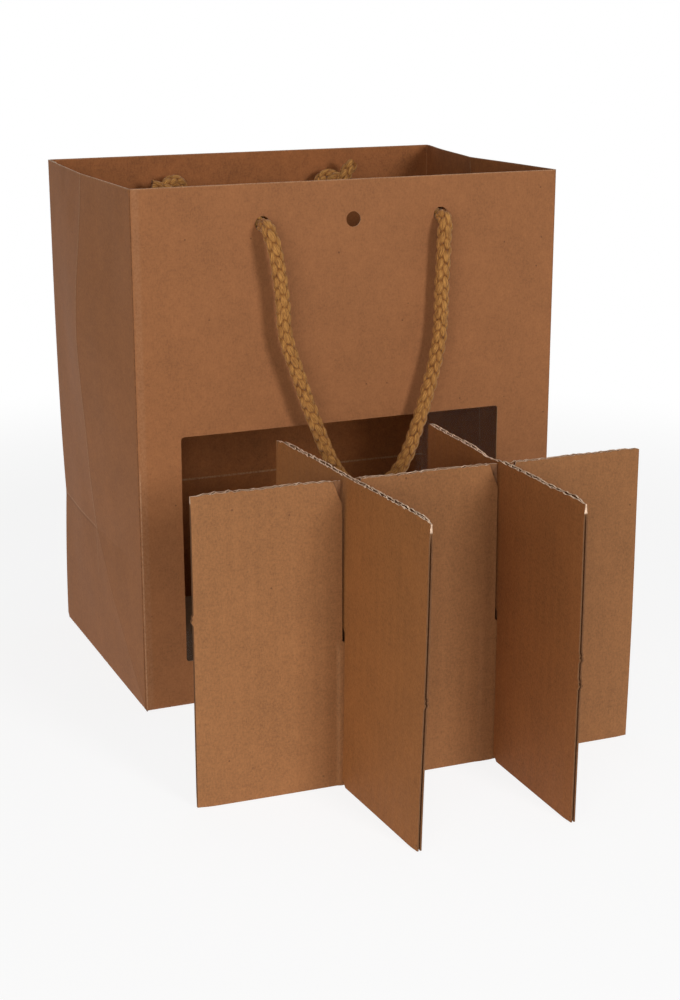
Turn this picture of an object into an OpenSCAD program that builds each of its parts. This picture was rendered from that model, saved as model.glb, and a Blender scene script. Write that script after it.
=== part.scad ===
// Six-pack bottle carrier in kraft paper: an open-topped carrier bag folded and
// glued from one sheet, with a clear window and two knotted rope handles, and its
// interlocking corrugated divider of six cells, standing in front of the bag.
// Millimetres. The origin is at the middle of the bag's base, +Z up, front at -Y.

/* [Bag] */
// Width of the bag across its front
bag_w = 210; // [190:1:240]
// Depth of the bag from front to back
bag_d = 141; // [130:1:150]
// Height of the bag
bag_h = 242; // [225:1:280]
// Thickness of the kraft sheet
paper_t = 0.6; // [0.4:0.1:0.8]
// Outer radius of the upright folds
fold_r = 1.4; // [1:0.1:2.5]
// Width of the glued side lap
lap_w = 15; // [10:1:25]
// Reach of the front bottom flap past the middle of the base
flap_lap = 10; // [6:1:14]

/* [Set of the folds] */
// How far the left gusset bows outward at its crease
left_bow = 8; // [0:0.5:12]
// How far the right gusset is tucked inward at the rim
right_tuck = 10; // [0:0.5:14]
// How far the back wall is pinched inward along its base crease
back_pinch = 1.5; // [0:0.1:3]

/* [Window] */
// Width of the window
window_w = 161; // [120:1:164]
// Height of the window
window_h = 108; // [60:1:140]
// Height of the window's lower edge above the table
window_z = 22; // [14:1:40]
// Offset of the window from the middle of the front, to the left
window_shift = 4; // [0:0.5:6]
// Corner radius of the window
window_r = 1.5; // [1:0.5:10]
// Thickness of the clear film
film_t = 0.2; // [0.1:0.05:0.3]
// Overlap of the film behind the window's edge
film_lap = 8; // [5:0.5:12]

/* [Bottom board] */
// Thickness of the loose stiffening board
board_card_t = 1.2; // [0.8:0.1:2.5]
// Play of the board inside the bag, on each side
board_card_play = 1.2; // [1:0.1:3]

/* [Handles] */
// Distance between the two holes of a handle
handle_span = 88; // [70:1:110]
// Height from the holes' centres to the rim
hole_drop = 18; // [16:1:24]
// Diameter of the rope holes
rope_hole_d = 7; // [6.8:0.1:9]
// Diameter of the tie hole in the middle of the front's rim
tie_hole_d = 7; // [5:0.1:9]
// Diameter of the braided rope
rope_d = 6.5; // [5:0.1:6.6]
// Outer diameter of a handle's knot
knot_d = 16; // [14:0.5:18]
// Length of the rope's tail beyond a knot
knot_tail = 8; // [6:0.5:12]
// Gap between a knot and the wall that it bears on
knot_seat = 0.4; // [0.2:0.1:1]

/* [Divider] */
// Diameter of the bottles that the cells hold
bottle_d = 61; // [58:0.5:63]
// Play across the middle cells
cell_play = 6.4; // [3:0.1:8]
// Gap from each end of the long panel to the bag
long_end_gap = 3.2; // [1:0.1:6]
// Gap from each end of a cross panel to the bag
cross_end_gap = 0.4; // [0.2:0.1:4]
// Height of the long panel
long_panel_h = 134; // [110:1:150]
// Height of the cross panels
cross_panel_h = 135; // [110:1:150]
// Width of the interlocking slots
slot_w = 4.6; // [4.2:0.1:6]
// Height at which the slots meet
slot_meet_z = 67; // [50:1:80]
// Half the upright gap left between the slots' ends
slot_end_gap = 0.4; // [0.2:0.1:1]
// Diameter of the round relief at a slot's end
relief_d = 5.2; // [4.8:0.1:7]
// Width of the lead-in at the mouth of the long panel's slots
lead_in_w = 4; // [1:0.5:6]
// Height of that lead-in
lead_in_h = 10; // [4:0.5:14]
// Size of the lead-in at the foot of the cross panels' slots
foot_lead_in = 3; // [1:0.5:5]

/* [Corrugated board] */
// Thickness of the corrugated board
board_t = 3; // [2.6:0.1:3.2]
// Thickness of each liner
liner_t = 0.4; // [0.3:0.05:0.5]
// Thickness of the fluted medium
medium_t = 0.35; // [0.25:0.05:0.4]
// Distance from one flute to the next
flute_pitch = 6.1; // [5:0.1:7.5]
// How deep a flute's crest is bedded in its liner
flute_bond = 0.12; // [0.06:0.01:0.2]

/* [Where the divider stands] */
// Middle of the long panel, to the right of the bag's middle
divider_x = -14; // [-30:1:30]
// Middle of the long panel, in front of the bag's front
divider_gap = 107; // [90:1:140]
// Turn of the long panel seen from above, in degrees
long_turn = -1.3; // [-5:0.1:5]
// Turn of the left cross panel in its slot, in degrees
left_turn = 4.2; // [-5:0.1:5]
// Turn of the right cross panel in its slot, in degrees
right_turn = 1.2; // [-5:0.1:5]

/* [Hidden] */

$fn = 48;
eps = 1;                      // overshoot of a cutting tool
kraft = [0.60, 0.42, 0.28];
inner_kraft = [0.55, 0.37, 0.24];
grey_card = [0.50, 0.40, 0.31];
clear_film = [0.92, 0.90, 0.86, 0.3];
rope_tan = [0.66, 0.47, 0.27];

base_t = 3 * paper_t;         // three plies of the folded base
crease_z = bag_d / 2;         // the base creases meet at half the depth
hole_z = bag_h - hole_drop;
front_y = -bag_d / 2;
back_y = bag_d / 2;
inner_front_y = front_y + paper_t;
inner_back_y = back_y - paper_t;

// Heights of the wall's rings, as shares of the stretch they divide
lower_rings = [0, 0.25, 0.5, 0.75];
upper_rings = [0, 0.14, 0.28, 0.4, 0.56, 0.7, 0.78, 0.88, 1];

// Share of the left gusset's bow along its crease, from the base crease to the rim
bow_profile = [
    [0, 0.16], [0.14, 0.45], [0.28, 0.61], [0.4, 0.81], [0.56, 1],
    [0.7, 0.88], [0.78, 0.69], [0.88, 0.49], [1, 0.33]
];

function upper_share(z) = max(0, (z - crease_z) / (bag_h - crease_z));
function lower_share(z) = min(1, z / crease_z);

function left_out(z) = left_bow * (z < crease_z
    ? bow_profile[0][1] * lower_share(z)
    : lookup(upper_share(z), bow_profile));
function right_in(z) = right_tuck * pow(upper_share(z), 1.4);
function back_in(z) = back_pinch * (z < crease_z
    ? pow(lower_share(z), 2)
    : pow(1 - upper_share(z), 4));

// The gusset's crease runs up its middle, and below the base creases it runs
// down the diagonal to the front bottom corner
function crease_y(z) = z < crease_z
    ? max(front_y + 2 * fold_r, front_y + z)
    : 0;

ring_heights = concat(
    [for (share = lower_rings) share * crease_z],
    [for (share = upper_rings) crease_z + share * (bag_h - crease_z)]
);

// One rounded upright fold: three points of an arc that turns from angle a
function fold_points(x, y, r, a) =
    [for (turn = [0, 45, 90]) [x + r * cos(a + turn), y + r * sin(a + turn)]];

// Outline of the wall at height z, counter-clockwise from the front left fold
function wall_outline(z, inset, lap) = let(
    r = fold_r - inset,
    x = bag_w / 2 - fold_r,
    y_front = front_y + fold_r,
    y_back = back_y - fold_r - back_in(z),
    x_side = bag_w / 2 - inset
) concat(
    fold_points(-x, y_front, r, 180),
    fold_points(x, y_front, r, 270),
    [[x_side - right_in(z), crease_y(z)]],
    fold_points(x - back_in(z), y_back, r, 0),
    fold_points(-x + back_in(z), y_back, r, 90),
    lap > 0 ? lap_step(z, lap) : [],
    [[-x_side - left_out(z), crease_y(z)]]
);

// Two points where the glued lap's edge steps off the left gusset's inner face
function lap_step(z, lap) = let(
    corner = [-(bag_w / 2 - paper_t) + back_in(z), inner_back_y - back_in(z) - fold_r],
    crease = [-(bag_w / 2 - paper_t) - left_out(z), crease_y(z)],
    share = lap / (corner[1] - crease[1]),
    edge = corner + share * (crease - corner)
) [[corner[0] + paper_t, corner[1]], [edge[0] + paper_t, edge[1]], edge];

// Solid between rings of points, each ring a closed outline with a height
module loft(outlines, heights) {
    n = len(outlines[0]);
    top = (len(outlines) - 1) * n;
    points = [
        for (k = [0:len(outlines) - 1]) for (p = outlines[k]) [p[0], p[1], heights[k]]
    ];
    sides = [
        for (k = [0:len(outlines) - 2]) for (i = [0:n - 1])
            let(a = k * n + i, b = k * n + (i + 1) % n)
                each [[a, a + n, b + n], [a, b + n, b]]
    ];
    polyhedron(
        points = points,
        faces = concat([[for (i = [0:n - 1]) i]], sides, [[for (i = [n - 1:-1:0]) top + i]]),
        convexity = 6
    );
}

module outer_block() {
    loft([for (z = ring_heights) wall_outline(z, 0, 0)], ring_heights);
}

// The hollow starts on the base's plies and runs out past the rim
module inner_block() {
    heights = concat([base_t], [for (z = ring_heights) if (z > base_t) z], [bag_h + eps]);
    loft([for (z = heights) wall_outline(min(z, bag_h), paper_t, lap_w)], heights);
}

module rounded_rectangle(w, h, r) {
    square([w - 2 * r, h], center = true);
    square([w, h - 2 * r], center = true);
    for (x = [-1, 1], y = [-1, 1])
        translate([x * (w / 2 - r), y * (h / 2 - r)]) circle(r = r);
}

// Upright sheet with its near face at y, from its centre's x and z
module upright_sheet(x, y, z, t) {
    translate([x, y + t, z]) rotate([90, 0, 0]) linear_extrude(t) children();
}

module window_place(y, t) {
    upright_sheet(-window_shift, y, window_z + window_h / 2, t) children();
}

// Round hole punched through the wall whose outer face is at y
module punched_hole(x, y, d) {
    translate([x, y, hole_z]) rotate([90, 0, 0])
        cylinder(d = d, h = 2 * (paper_t + eps), center = true);
}

// The two holes of the handle on the wall whose outer face is at y
module rope_holes(y) {
    for (x = [-handle_span / 2, handle_span / 2])
        punched_hole(x, y, rope_hole_d);
}

// The base folds like an envelope: triangles at the sides, then the back flap,
// then the front flap over it, so each lies a ply higher than the next
module base_recesses() {
    half_w = bag_w / 2 + eps;
    half_d = bag_d / 2 + eps;
    apex_x = bag_w / 2 - bag_d / 2;
    for (side = [-1, 1])
        translate([0, 0, -eps]) linear_extrude(eps + 2 * paper_t)
            polygon([[side * half_w, -half_d], [side * apex_x, 0], [side * half_w, half_d]]);
    translate([0, 0, -eps]) linear_extrude(eps + paper_t)
        polygon([
            [-half_w, half_d], [half_w, half_d], [apex_x, 0], [apex_x - flap_lap, flap_lap],
            [-apex_x + flap_lap, flap_lap], [-apex_x, 0]
        ]);
}

module bag_shell() {
    color(kraft) difference() {
        outer_block();
        inner_block();
        base_recesses();
        window_place(front_y - eps, paper_t + 2 * eps)
            rounded_rectangle(window_w, window_h, window_r);
        rope_holes(front_y);
        rope_holes(back_y);
        punched_hole(0, front_y, tie_hole_d);
    }
}

module window_film() {
    color(clear_film) window_place(inner_front_y, film_t)
        rounded_rectangle(window_w + 2 * film_lap, window_h + 2 * film_lap, window_r);
}

module bottom_board() {
    w = bag_w - 2 * paper_t - 2 * board_card_play;
    d = bag_d - 2 * paper_t - 2 * board_card_play;
    color(grey_card) translate([0, 0, base_t]) linear_extrude(board_card_t)
        rounded_rectangle(w, d, 2);
}

// Route of the front handle: through the left hole, down in a loop, up to the right hole
front_route = [
    [-44, -69.5, 224], [-44, -73.5, 224], [-44.2, -77.5, 222.8], [-44, -80.5, 219.5],
    [-42.9, -82.2, 214.5], [-41.8, -82.5, 208.5], [-40.4, -82.5, 199], [-39.3, -82.5, 189],
    [-38.6, -82.5, 178], [-36.8, -82.5, 170], [-33.5, -82.5, 160.5], [-29.8, -82.3, 149.5],
    [-25.8, -82, 138.8], [-21.6, -81.8, 128.2], [-16.6, -81.5, 116.6], [-10.8, -81.3, 107],
    [-4.5, -81.2, 101], [2.5, -81, 98.6], [10, -80.8, 99.5], [16.5, -80.6, 103.5],
    [22, -80.5, 110.8], [26, -80.3, 119.5], [29.4, -80, 128.5], [32.6, -79.8, 138],
    [35.6, -79.5, 148], [38.3, -79.2, 158.5], [40.2, -79, 169], [40.9, -78.8, 180],
    [41.2, -78.6, 191], [41.6, -78.5, 201], [42, -78.5, 210], [42.4, -78.3, 216],
    [43.4, -76.8, 221], [44, -74.5, 223.6], [44, -72.5, 224], [44, -69.5, 224]
];

// The back handle hangs in the same way on the back of the bag
back_route = [for (p = front_route) [-p[0], -p[1], p[2]]];

rope_sides = 10;

// Direction of the route at its point i
function heading(route, i) = let(
    step = route[min(i + 1, len(route) - 1)] - route[max(i - 1, 0)]
) step / norm(step);

// Unit vector across the heading, level or nearly so
function across(h) = let(side = cross(h, [0, 0, 1]), n = norm(side))
    n > 0.2 ? side / n : [1, 0, 0];

// Sideways vectors carried along the route without twist
function carried(route, i) = i == 0
    ? across(heading(route, 0))
    : let(
        h = heading(route, i),
        last = carried(route, i - 1),
        side = last - (last * h) * h
    ) side / norm(side);

module swept_rope(route) {
    rings = len(route);
    sides = [for (i = [0:rings - 1]) carried(route, i)];
    points = [
        for (i = [0:rings - 1]) for (k = [0:rope_sides - 1])
            let(
                a = 360 * k / rope_sides,
                other = cross(heading(route, i), sides[i])
            ) route[i] + rope_d / 2 * (cos(a) * sides[i] + sin(a) * other)
    ];
    walls = [
        for (i = [0:rings - 2]) for (k = [0:rope_sides - 1])
            let(a = i * rope_sides + k, b = i * rope_sides + (k + 1) % rope_sides)
                each [[a, b, b + rope_sides], [a, b + rope_sides, a + rope_sides]]
    ];
    last = (rings - 1) * rope_sides;
    color(rope_tan) polyhedron(
        points = points,
        faces = concat(
            [[for (k = [rope_sides - 1:-1:0]) k]],
            walls,
            [[for (k = [0:rope_sides - 1]) last + k]]
        ),
        convexity = 8
    );
}

module front_handle_rope() {
    swept_rope(front_route);
}

module back_handle_rope() {
    swept_rope(back_route);
}

// Overhand knot against the inner face of a wall: two snug turns of the rope and
// a tail that leaves at an angle above the level
module knot(x, side, tail_angle) {
    turn_r = rope_d / 2;
    ring_r = knot_d / 2 - turn_r;
    first_turn = knot_seat + turn_r + 0.1;
    second_turn = first_turn + 0.7 * rope_d;
    tail_height = first_turn + 0.5 * rope_d;
    color(rope_tan) translate([x, side * inner_back_y, hole_z]) rotate([side * 90, 0, 0])
        union() {
            rotate_extrude() {
                translate([0, knot_seat]) square([ring_r, second_turn - knot_seat + 0.3 * turn_r]);
                translate([ring_r, first_turn]) circle(r = turn_r);
                translate([ring_r - 0.4, second_turn]) circle(r = turn_r);
            }
            translate([0, 0, tail_height]) rotate([0, 90, side * tail_angle])
                cylinder(d = rope_d - 0.4, h = knot_d / 2 + knot_tail);
        }
}

module front_left_knot() {
    knot(-handle_span / 2, -1, 150);
}

module front_right_knot() {
    knot(handle_span / 2, -1, 30);
}

module back_left_knot() {
    knot(-handle_span / 2, 1, 160);
}

module back_right_knot() {
    knot(handle_span / 2, 1, 55);
}

long_l = bag_w - 2 * paper_t - 2 * long_end_gap;
cross_l = bag_d - 2 * paper_t - 2 * cross_end_gap;
cross_spacing = bottle_d + cell_play + board_t;
liner_y = board_t / 2 - liner_t;             // inner face of a liner
wave = liner_y - medium_t / 2 + flute_bond;  // half the medium's swing
wave_steps = 3;

// Half the width of a flute's hollow, up to where the medium meets the liner
hollow_half = acos(-(liner_y - medium_t / 2) / wave) * flute_pitch / 360;

// The hollow of one half flute, open towards the liner on the given side
function flute_hollow(x, side) = [
    for (k = [-wave_steps:wave_steps])
        let(s = k * hollow_half / wave_steps)
            [x + s, side * (medium_t / 2 - wave * cos(360 * s / flute_pitch))]
];

// Section of the board seen along its flutes: two liners and the wavy medium
module board_section(length) {
    last = floor(2 * length / flute_pitch);
    difference() {
        square([length, board_t], center = true);
        for (i = [0:last])
            polygon(flute_hollow(-length / 2 + (i + 0.15) * flute_pitch / 2, i % 2 == 0 ? 1 : -1));
    }
}

module board(length, height) {
    linear_extrude(height) board_section(length);
}

// Slot outline in the panel's own plane, mouth at z = 0 and running up
module slot_outline(depth, lead_w, lead_h) {
    polygon([
        [-slot_w / 2 - lead_w, -eps], [slot_w / 2 + lead_w, -eps],
        [slot_w / 2 + lead_w, 0], [slot_w / 2, lead_h], [slot_w / 2, depth],
        [-slot_w / 2, depth], [-slot_w / 2, lead_h], [-slot_w / 2 - lead_w, 0]
    ]);
    translate([0, depth]) circle(d = relief_d);
}

module slot_cut(depth, lead_w, lead_h) {
    translate([0, board_t, 0]) rotate([90, 0, 0]) linear_extrude(2 * board_t)
        slot_outline(depth, lead_w, lead_h);
}

module divider_place() {
    translate([divider_x, front_y - divider_gap, 0]) rotate([0, 0, long_turn]) children();
}

module divider_long_panel() {
    color(kraft) divider_place() difference() {
        board(long_l, long_panel_h);
        for (x = [-cross_spacing / 2, cross_spacing / 2])
            translate([x, 0, long_panel_h]) mirror([0, 0, 1])
                slot_cut(long_panel_h - slot_meet_z + slot_end_gap, lead_in_w, lead_in_h);
    }
}

module cross_panel(x, turn) {
    color(inner_kraft) divider_place() translate([x, 0, 0]) rotate([0, 0, 90 + turn])
        difference() {
            board(cross_l, cross_panel_h);
            slot_cut(slot_meet_z + slot_end_gap, foot_lead_in, foot_lead_in);
        }
}

module divider_left_cross_panel() {
    cross_panel(-cross_spacing / 2, left_turn);
}

module divider_right_cross_panel() {
    cross_panel(cross_spacing / 2, right_turn);
}

bag_shell();
window_film();
bottom_board();
front_handle_rope();
front_left_knot();
front_right_knot();
back_handle_rope();
back_left_knot();
back_right_knot();
divider_long_panel();
divider_left_cross_panel();
divider_right_cross_panel();
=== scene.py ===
"""Looks of the six-pack bottle carrier: kraft bag, braided handles, corrugated divider.

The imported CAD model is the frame. Sheets are cut flat, as a box maker cuts them,
and each is then folded to its place: the bag's wall, its base flaps, the window's
film, and the liners and fluted medium of the divider's board. Shapes are worked
out in millimetres and turned into metres when an object is made.
"""

from __future__ import annotations

import logging
import math
from dataclasses import dataclass, field
from enum import Enum, IntEnum
from typing import Callable, Sequence

import bpy
import numpy as np
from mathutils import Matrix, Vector
from mathutils.geometry import delaunay_2d_cdt

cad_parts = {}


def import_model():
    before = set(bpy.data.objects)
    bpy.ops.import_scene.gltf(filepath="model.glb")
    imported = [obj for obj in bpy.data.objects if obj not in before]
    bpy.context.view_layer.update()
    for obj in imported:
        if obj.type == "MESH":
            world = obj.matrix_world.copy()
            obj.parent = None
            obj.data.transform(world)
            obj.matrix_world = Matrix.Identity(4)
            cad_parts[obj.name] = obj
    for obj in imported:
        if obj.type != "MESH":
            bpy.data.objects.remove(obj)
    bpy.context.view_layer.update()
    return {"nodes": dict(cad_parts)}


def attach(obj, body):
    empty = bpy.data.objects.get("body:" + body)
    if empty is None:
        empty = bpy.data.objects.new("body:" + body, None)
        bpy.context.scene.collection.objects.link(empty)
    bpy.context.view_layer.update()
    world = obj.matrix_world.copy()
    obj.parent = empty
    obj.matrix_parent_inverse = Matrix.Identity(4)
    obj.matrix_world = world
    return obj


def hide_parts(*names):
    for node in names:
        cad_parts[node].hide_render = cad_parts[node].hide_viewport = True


LOG = logging.getLogger("bottle_carrier")
METRES_PER_MM = 0.001
ROOT_BODY = "root"
WHITE = (1.0, 1.0, 1.0, 1.0)
SHARP_ANGLE = math.radians(42)
MERGE_DISTANCE = 1e-5
CORNER_POINTS = 6
WANDER_WAVES = 6
WANDER_PEAK = 3.2

Line = np.ndarray
Colour = tuple[float, float, float]
Surface = Callable[[np.ndarray], np.ndarray]


class Layer(IntEnum):
    """Material slots of a sheet: its outer face, its inner face and its cut edge."""

    OUTER = 0
    INNER = 1
    EDGE = 2


class Wall(Enum):
    """The two walls that carry a handle, by the direction that each faces along Y."""

    FRONT = -1
    BACK = 1


def add_object(name: str, data: bpy.types.ID) -> bpy.types.Object:
    """Makes an object and links it to the scene.

    Args:
        name: the object's name.
        data: its mesh, camera or lamp.

    Returns:
        The new object.
    """
    made = bpy.data.objects.new(name, data)
    bpy.context.scene.collection.objects.link(made)
    return made


def point_along(made: bpy.types.Object, heading: Sequence[float]) -> None:
    """Turns a camera or a lamp so that it looks along a heading."""
    made.rotation_euler = Vector(heading).to_track_quat("-Z", "Y").to_euler()


def as_line(points: Sequence[Sequence[float]]) -> Line:
    """Turns a list of points into an array of floats."""
    return np.asarray(points, dtype=float)


def closed(loop: Line) -> Line:
    """Repeats a loop's first point at its end."""
    return np.vstack([loop, loop[:1]])


def spaced(line: Line, step: float) -> Line:
    """Adds points to a line, so that none of its stretches is longer than a step.

    Args:
        line: the line's points.
        step: the longest stretch allowed.

    Returns:
        The line with its own points kept and others between them.
    """
    points = [line[0]]
    for start, end in zip(line[:-1], line[1:]):
        count = max(1, math.ceil(float(np.linalg.norm(end - start)) / step))
        for k in range(1, count + 1):
            points.append(start + (end - start) * k / count)
    return np.array(points)


def resampled(line: Line, step: float) -> Line:
    """Places points at even distances along a line.

    Args:
        line: the line's points.
        step: the distance wanted, which is rounded to fit the line's length.

    Returns:
        The new points, the first and last of them the line's own ends.
    """
    lengths = np.linalg.norm(np.diff(line, axis=0), axis=1)
    along = np.concatenate([[0.0], np.cumsum(lengths)])
    marks = np.linspace(0.0, along[-1], max(2, round(along[-1] / step)) + 1)
    return np.stack([np.interp(marks, along, line[:, k]) for k in range(line.shape[1])], axis=1)


def smooth_curve(points: Line, per_stretch: int = 12) -> Line:
    """Passes a centripetal spline through a line's points.

    Args:
        points: the points that the curve passes through.
        per_stretch: how many points the curve gets between two of them.

    Returns:
        The curve's points.
    """
    padded = np.vstack([2 * points[0] - points[1], points, 2 * points[-1] - points[-2]])
    knots = np.concatenate([[0.0], np.cumsum(np.linalg.norm(np.diff(padded, axis=0), axis=1) ** 0.5)])
    curve = []
    for k in range(len(points) - 1):
        p0, p1, p2, p3 = padded[k : k + 4]
        t0, t1, t2, t3 = knots[k : k + 4]
        t = np.linspace(t1, t2, per_stretch, endpoint=False)[:, None]
        a1 = ((t1 - t) * p0 + (t - t0) * p1) / (t1 - t0)
        a2 = ((t2 - t) * p1 + (t - t1) * p2) / (t2 - t1)
        a3 = ((t3 - t) * p2 + (t - t2) * p3) / (t3 - t2)
        b1 = ((t2 - t) * a1 + (t - t0) * a2) / (t2 - t0)
        b2 = ((t3 - t) * a2 + (t - t1) * a3) / (t3 - t1)
        curve.append(((t2 - t) * b1 + (t - t1) * b2) / (t2 - t1))
    return np.vstack([*curve, points[-1:]])


def arc(centre: Sequence[float], radius: float, start: float, end: float, count: int) -> Line:
    """Gives points on an arc.

    Args:
        centre: the arc's centre.
        radius: its radius.
        start: its first angle, in degrees.
        end: its last angle, in degrees.
        count: how many points it gets.

    Returns:
        The points, from the first angle to the last.
    """
    angles = np.radians(np.linspace(start, end, count))
    ring = np.stack([np.cos(angles), np.sin(angles)], axis=1)
    return np.asarray(centre) + radius * ring


def rounded_rectangle(centre: Sequence[float], width: float, height: float, radius: float) -> Line:
    """Gives a rounded rectangle's loop.

    Args:
        centre: its centre.
        width: its width.
        height: its height.
        radius: the radius of its corners.

    Returns:
        The loop's points, counter-clockwise.
    """
    corners = []
    for k, (x, y) in enumerate([(1, 1), (-1, 1), (-1, -1), (1, -1)]):
        middle = (centre[0] + x * (width / 2 - radius), centre[1] + y * (height / 2 - radius))
        corners.append(arc(middle, radius, 90 * k, 90 * k + 90, CORNER_POINTS))
    return np.vstack(corners)


def is_inside(points: Line, loop: Line) -> np.ndarray:
    """Tells which points lie inside a loop.

    Args:
        points: the points to test.
        loop: the loop's points, without the first repeated.

    Returns:
        One truth value for each point.
    """
    x, y = points[:, 0], points[:, 1]
    inside = np.zeros(len(points), dtype=bool)
    for (x0, y0), (x1, y1) in zip(loop, np.roll(loop, -1, axis=0)):
        if y0 != y1:
            inside ^= ((y0 > y) != (y1 > y)) & (x < (x1 - x0) * (y - y0) / (y1 - y0) + x0)
    return inside


def nearest_gap(points: Line, lines: Sequence[Line]) -> np.ndarray:
    """Measures how near each point lies to some lines.

    Args:
        points: the points.
        lines: the lines.

    Returns:
        Each point's distance to the nearest line.
    """
    nearest = np.full(len(points), np.inf)
    for line in lines:
        for start, end in zip(line[:-1], line[1:]):
            along = end - start
            share = np.clip((points - start) @ along / (along @ along), 0.0, 1.0)
            gap = np.linalg.norm(points - start - share[:, None] * along, axis=1)
            nearest = np.minimum(nearest, gap)
    return nearest


def steps(start: float, end: float, step: float) -> np.ndarray:
    """Gives evenly spaced values from start to end, both kept."""
    return np.linspace(start, end, max(1, round((end - start) / step)) + 1)


def wander(position: np.ndarray, wavelength: float, seed: int) -> np.ndarray:
    """Gives a slow, repeatable wobble between about -1 and 1.

    Args:
        position: where to read it, one row for each point, in millimetres.
        wavelength: the rough distance from one crest to the next.
        seed: picks one wobble out of many.

    Returns:
        One value for each point.
    """
    random = np.random.default_rng(seed)
    total = np.zeros(len(position))
    for _ in range(WANDER_WAVES):
        heading = random.normal(size=position.shape[1])
        heading *= random.uniform(0.6, 1.6) / np.linalg.norm(heading)
        total += np.sin(2 * math.pi * position @ heading / wavelength + random.uniform(0, 2 * math.pi))
    return total / WANDER_PEAK


@dataclass
class CutPlan:
    """The flat shape that a sheet is cut to, and where its mesh has points.

    Args:
        outer: the outer loop, counter-clockwise.
        columns: the first coordinates of the mesh's points.
        rows: the second coordinates of the mesh's points.
        holes: loops that are cut out.
        creases: lines that the mesh's edges follow.
        edge_step: the longest edge along a cut.
        clearance: how near the points of the grid may come to a cut or a crease.
    """

    outer: Line
    columns: np.ndarray
    rows: np.ndarray
    holes: list[Line] = field(default_factory=list)
    creases: list[Line] = field(default_factory=list)
    edge_step: float = 3.0
    clearance: float = 0.12

    def mesh(self) -> tuple[np.ndarray, np.ndarray]:
        """Triangulates the plan.

        Returns:
            The flat points, and three point numbers for each triangle.
        """
        loops = [spaced(closed(loop), self.edge_step) for loop in [self.outer, *self.holes]]
        creases = [spaced(line, self.edge_step) for line in self.creases]
        grid = np.stack(np.meshgrid(self.columns, self.rows), axis=-1).reshape(-1, 2)
        grid = grid[is_inside(grid, self.outer)]
        lines = [*map(closed, [self.outer, *self.holes]), *self.creases]
        grid = grid[nearest_gap(grid, lines) > self.clearance]
        for hole in self.holes:
            grid = grid[~is_inside(grid, hole)]
        points: list[np.ndarray] = []
        edges: list[tuple[int, int]] = []
        for line in loops:
            first, count = len(points), len(line) - 1
            points.extend(line[:-1])
            edges.extend((first + k, first + (k + 1) % count) for k in range(count))
        for line in creases:
            first = len(points)
            points.extend(line)
            edges.extend((first + k, first + k + 1) for k in range(len(line) - 1))
        points.extend(grid)
        vectors = [Vector(point) for point in points]
        flat, _, faces, *_ = delaunay_2d_cdt(vectors, edges, [], 0, MERGE_DISTANCE, False)
        flat_points = np.array([[v.x, v.y] for v in flat])
        triangles = np.array([face for face in faces if len(face) == 3])
        centres = flat_points[triangles].mean(axis=1)
        kept = is_inside(centres, self.outer)
        for hole in self.holes:
            kept &= ~is_inside(centres, hole)
        return flat_points, triangles[kept]


@dataclass
class Body:
    """Vertices and faces of a piece in the making, in millimetres.

    Args:
        points: the vertices.
        flat: where each vertex lay on the flat sheet, for the materials.
        triangles: three vertex numbers for each triangle.
        layers: the material slot of each triangle.
    """

    points: np.ndarray
    flat: np.ndarray
    triangles: np.ndarray
    layers: np.ndarray

    @staticmethod
    def joined(bodies: Sequence[Body]) -> Body:
        """Puts several bodies into one.

        Args:
            bodies: the bodies to put together.

        Returns:
            One body with all their faces.
        """
        starts = np.cumsum([0] + [len(body.points) for body in bodies[:-1]])
        return Body(
            np.vstack([body.points for body in bodies]),
            np.vstack([body.flat for body in bodies]),
            np.vstack([body.triangles + start for body, start in zip(bodies, starts)]),
            np.concatenate([body.layers for body in bodies]),
        )

    def to_object(self, name: str, materials: Sequence[bpy.types.Material]) -> bpy.types.Object:
        """Makes a Blender object that rides on the root body.

        Args:
            name: the piece's name.
            materials: the materials of its slots, in the order of Layer.

        Returns:
            The new object, linked to the scene.
        """
        mesh = bpy.data.meshes.new(name)
        mesh.from_pydata((self.points * METRES_PER_MM).tolist(), [], self.triangles.tolist())
        for material in materials:
            mesh.materials.append(material)
        last = len(materials) - 1
        mesh.polygons.foreach_set("material_index", np.minimum(self.layers, last).astype(np.int32))
        attribute = mesh.attributes.new("flat", "FLOAT_VECTOR", "POINT")
        attribute.data.foreach_set("vector", self.flat.astype(np.float32).ravel())
        mesh.shade_smooth()
        mesh.set_sharp_from_angle(angle=SHARP_ANGLE)
        mesh.update()
        piece = add_object(name, mesh)
        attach(piece, ROOT_BODY)
        return piece


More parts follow.
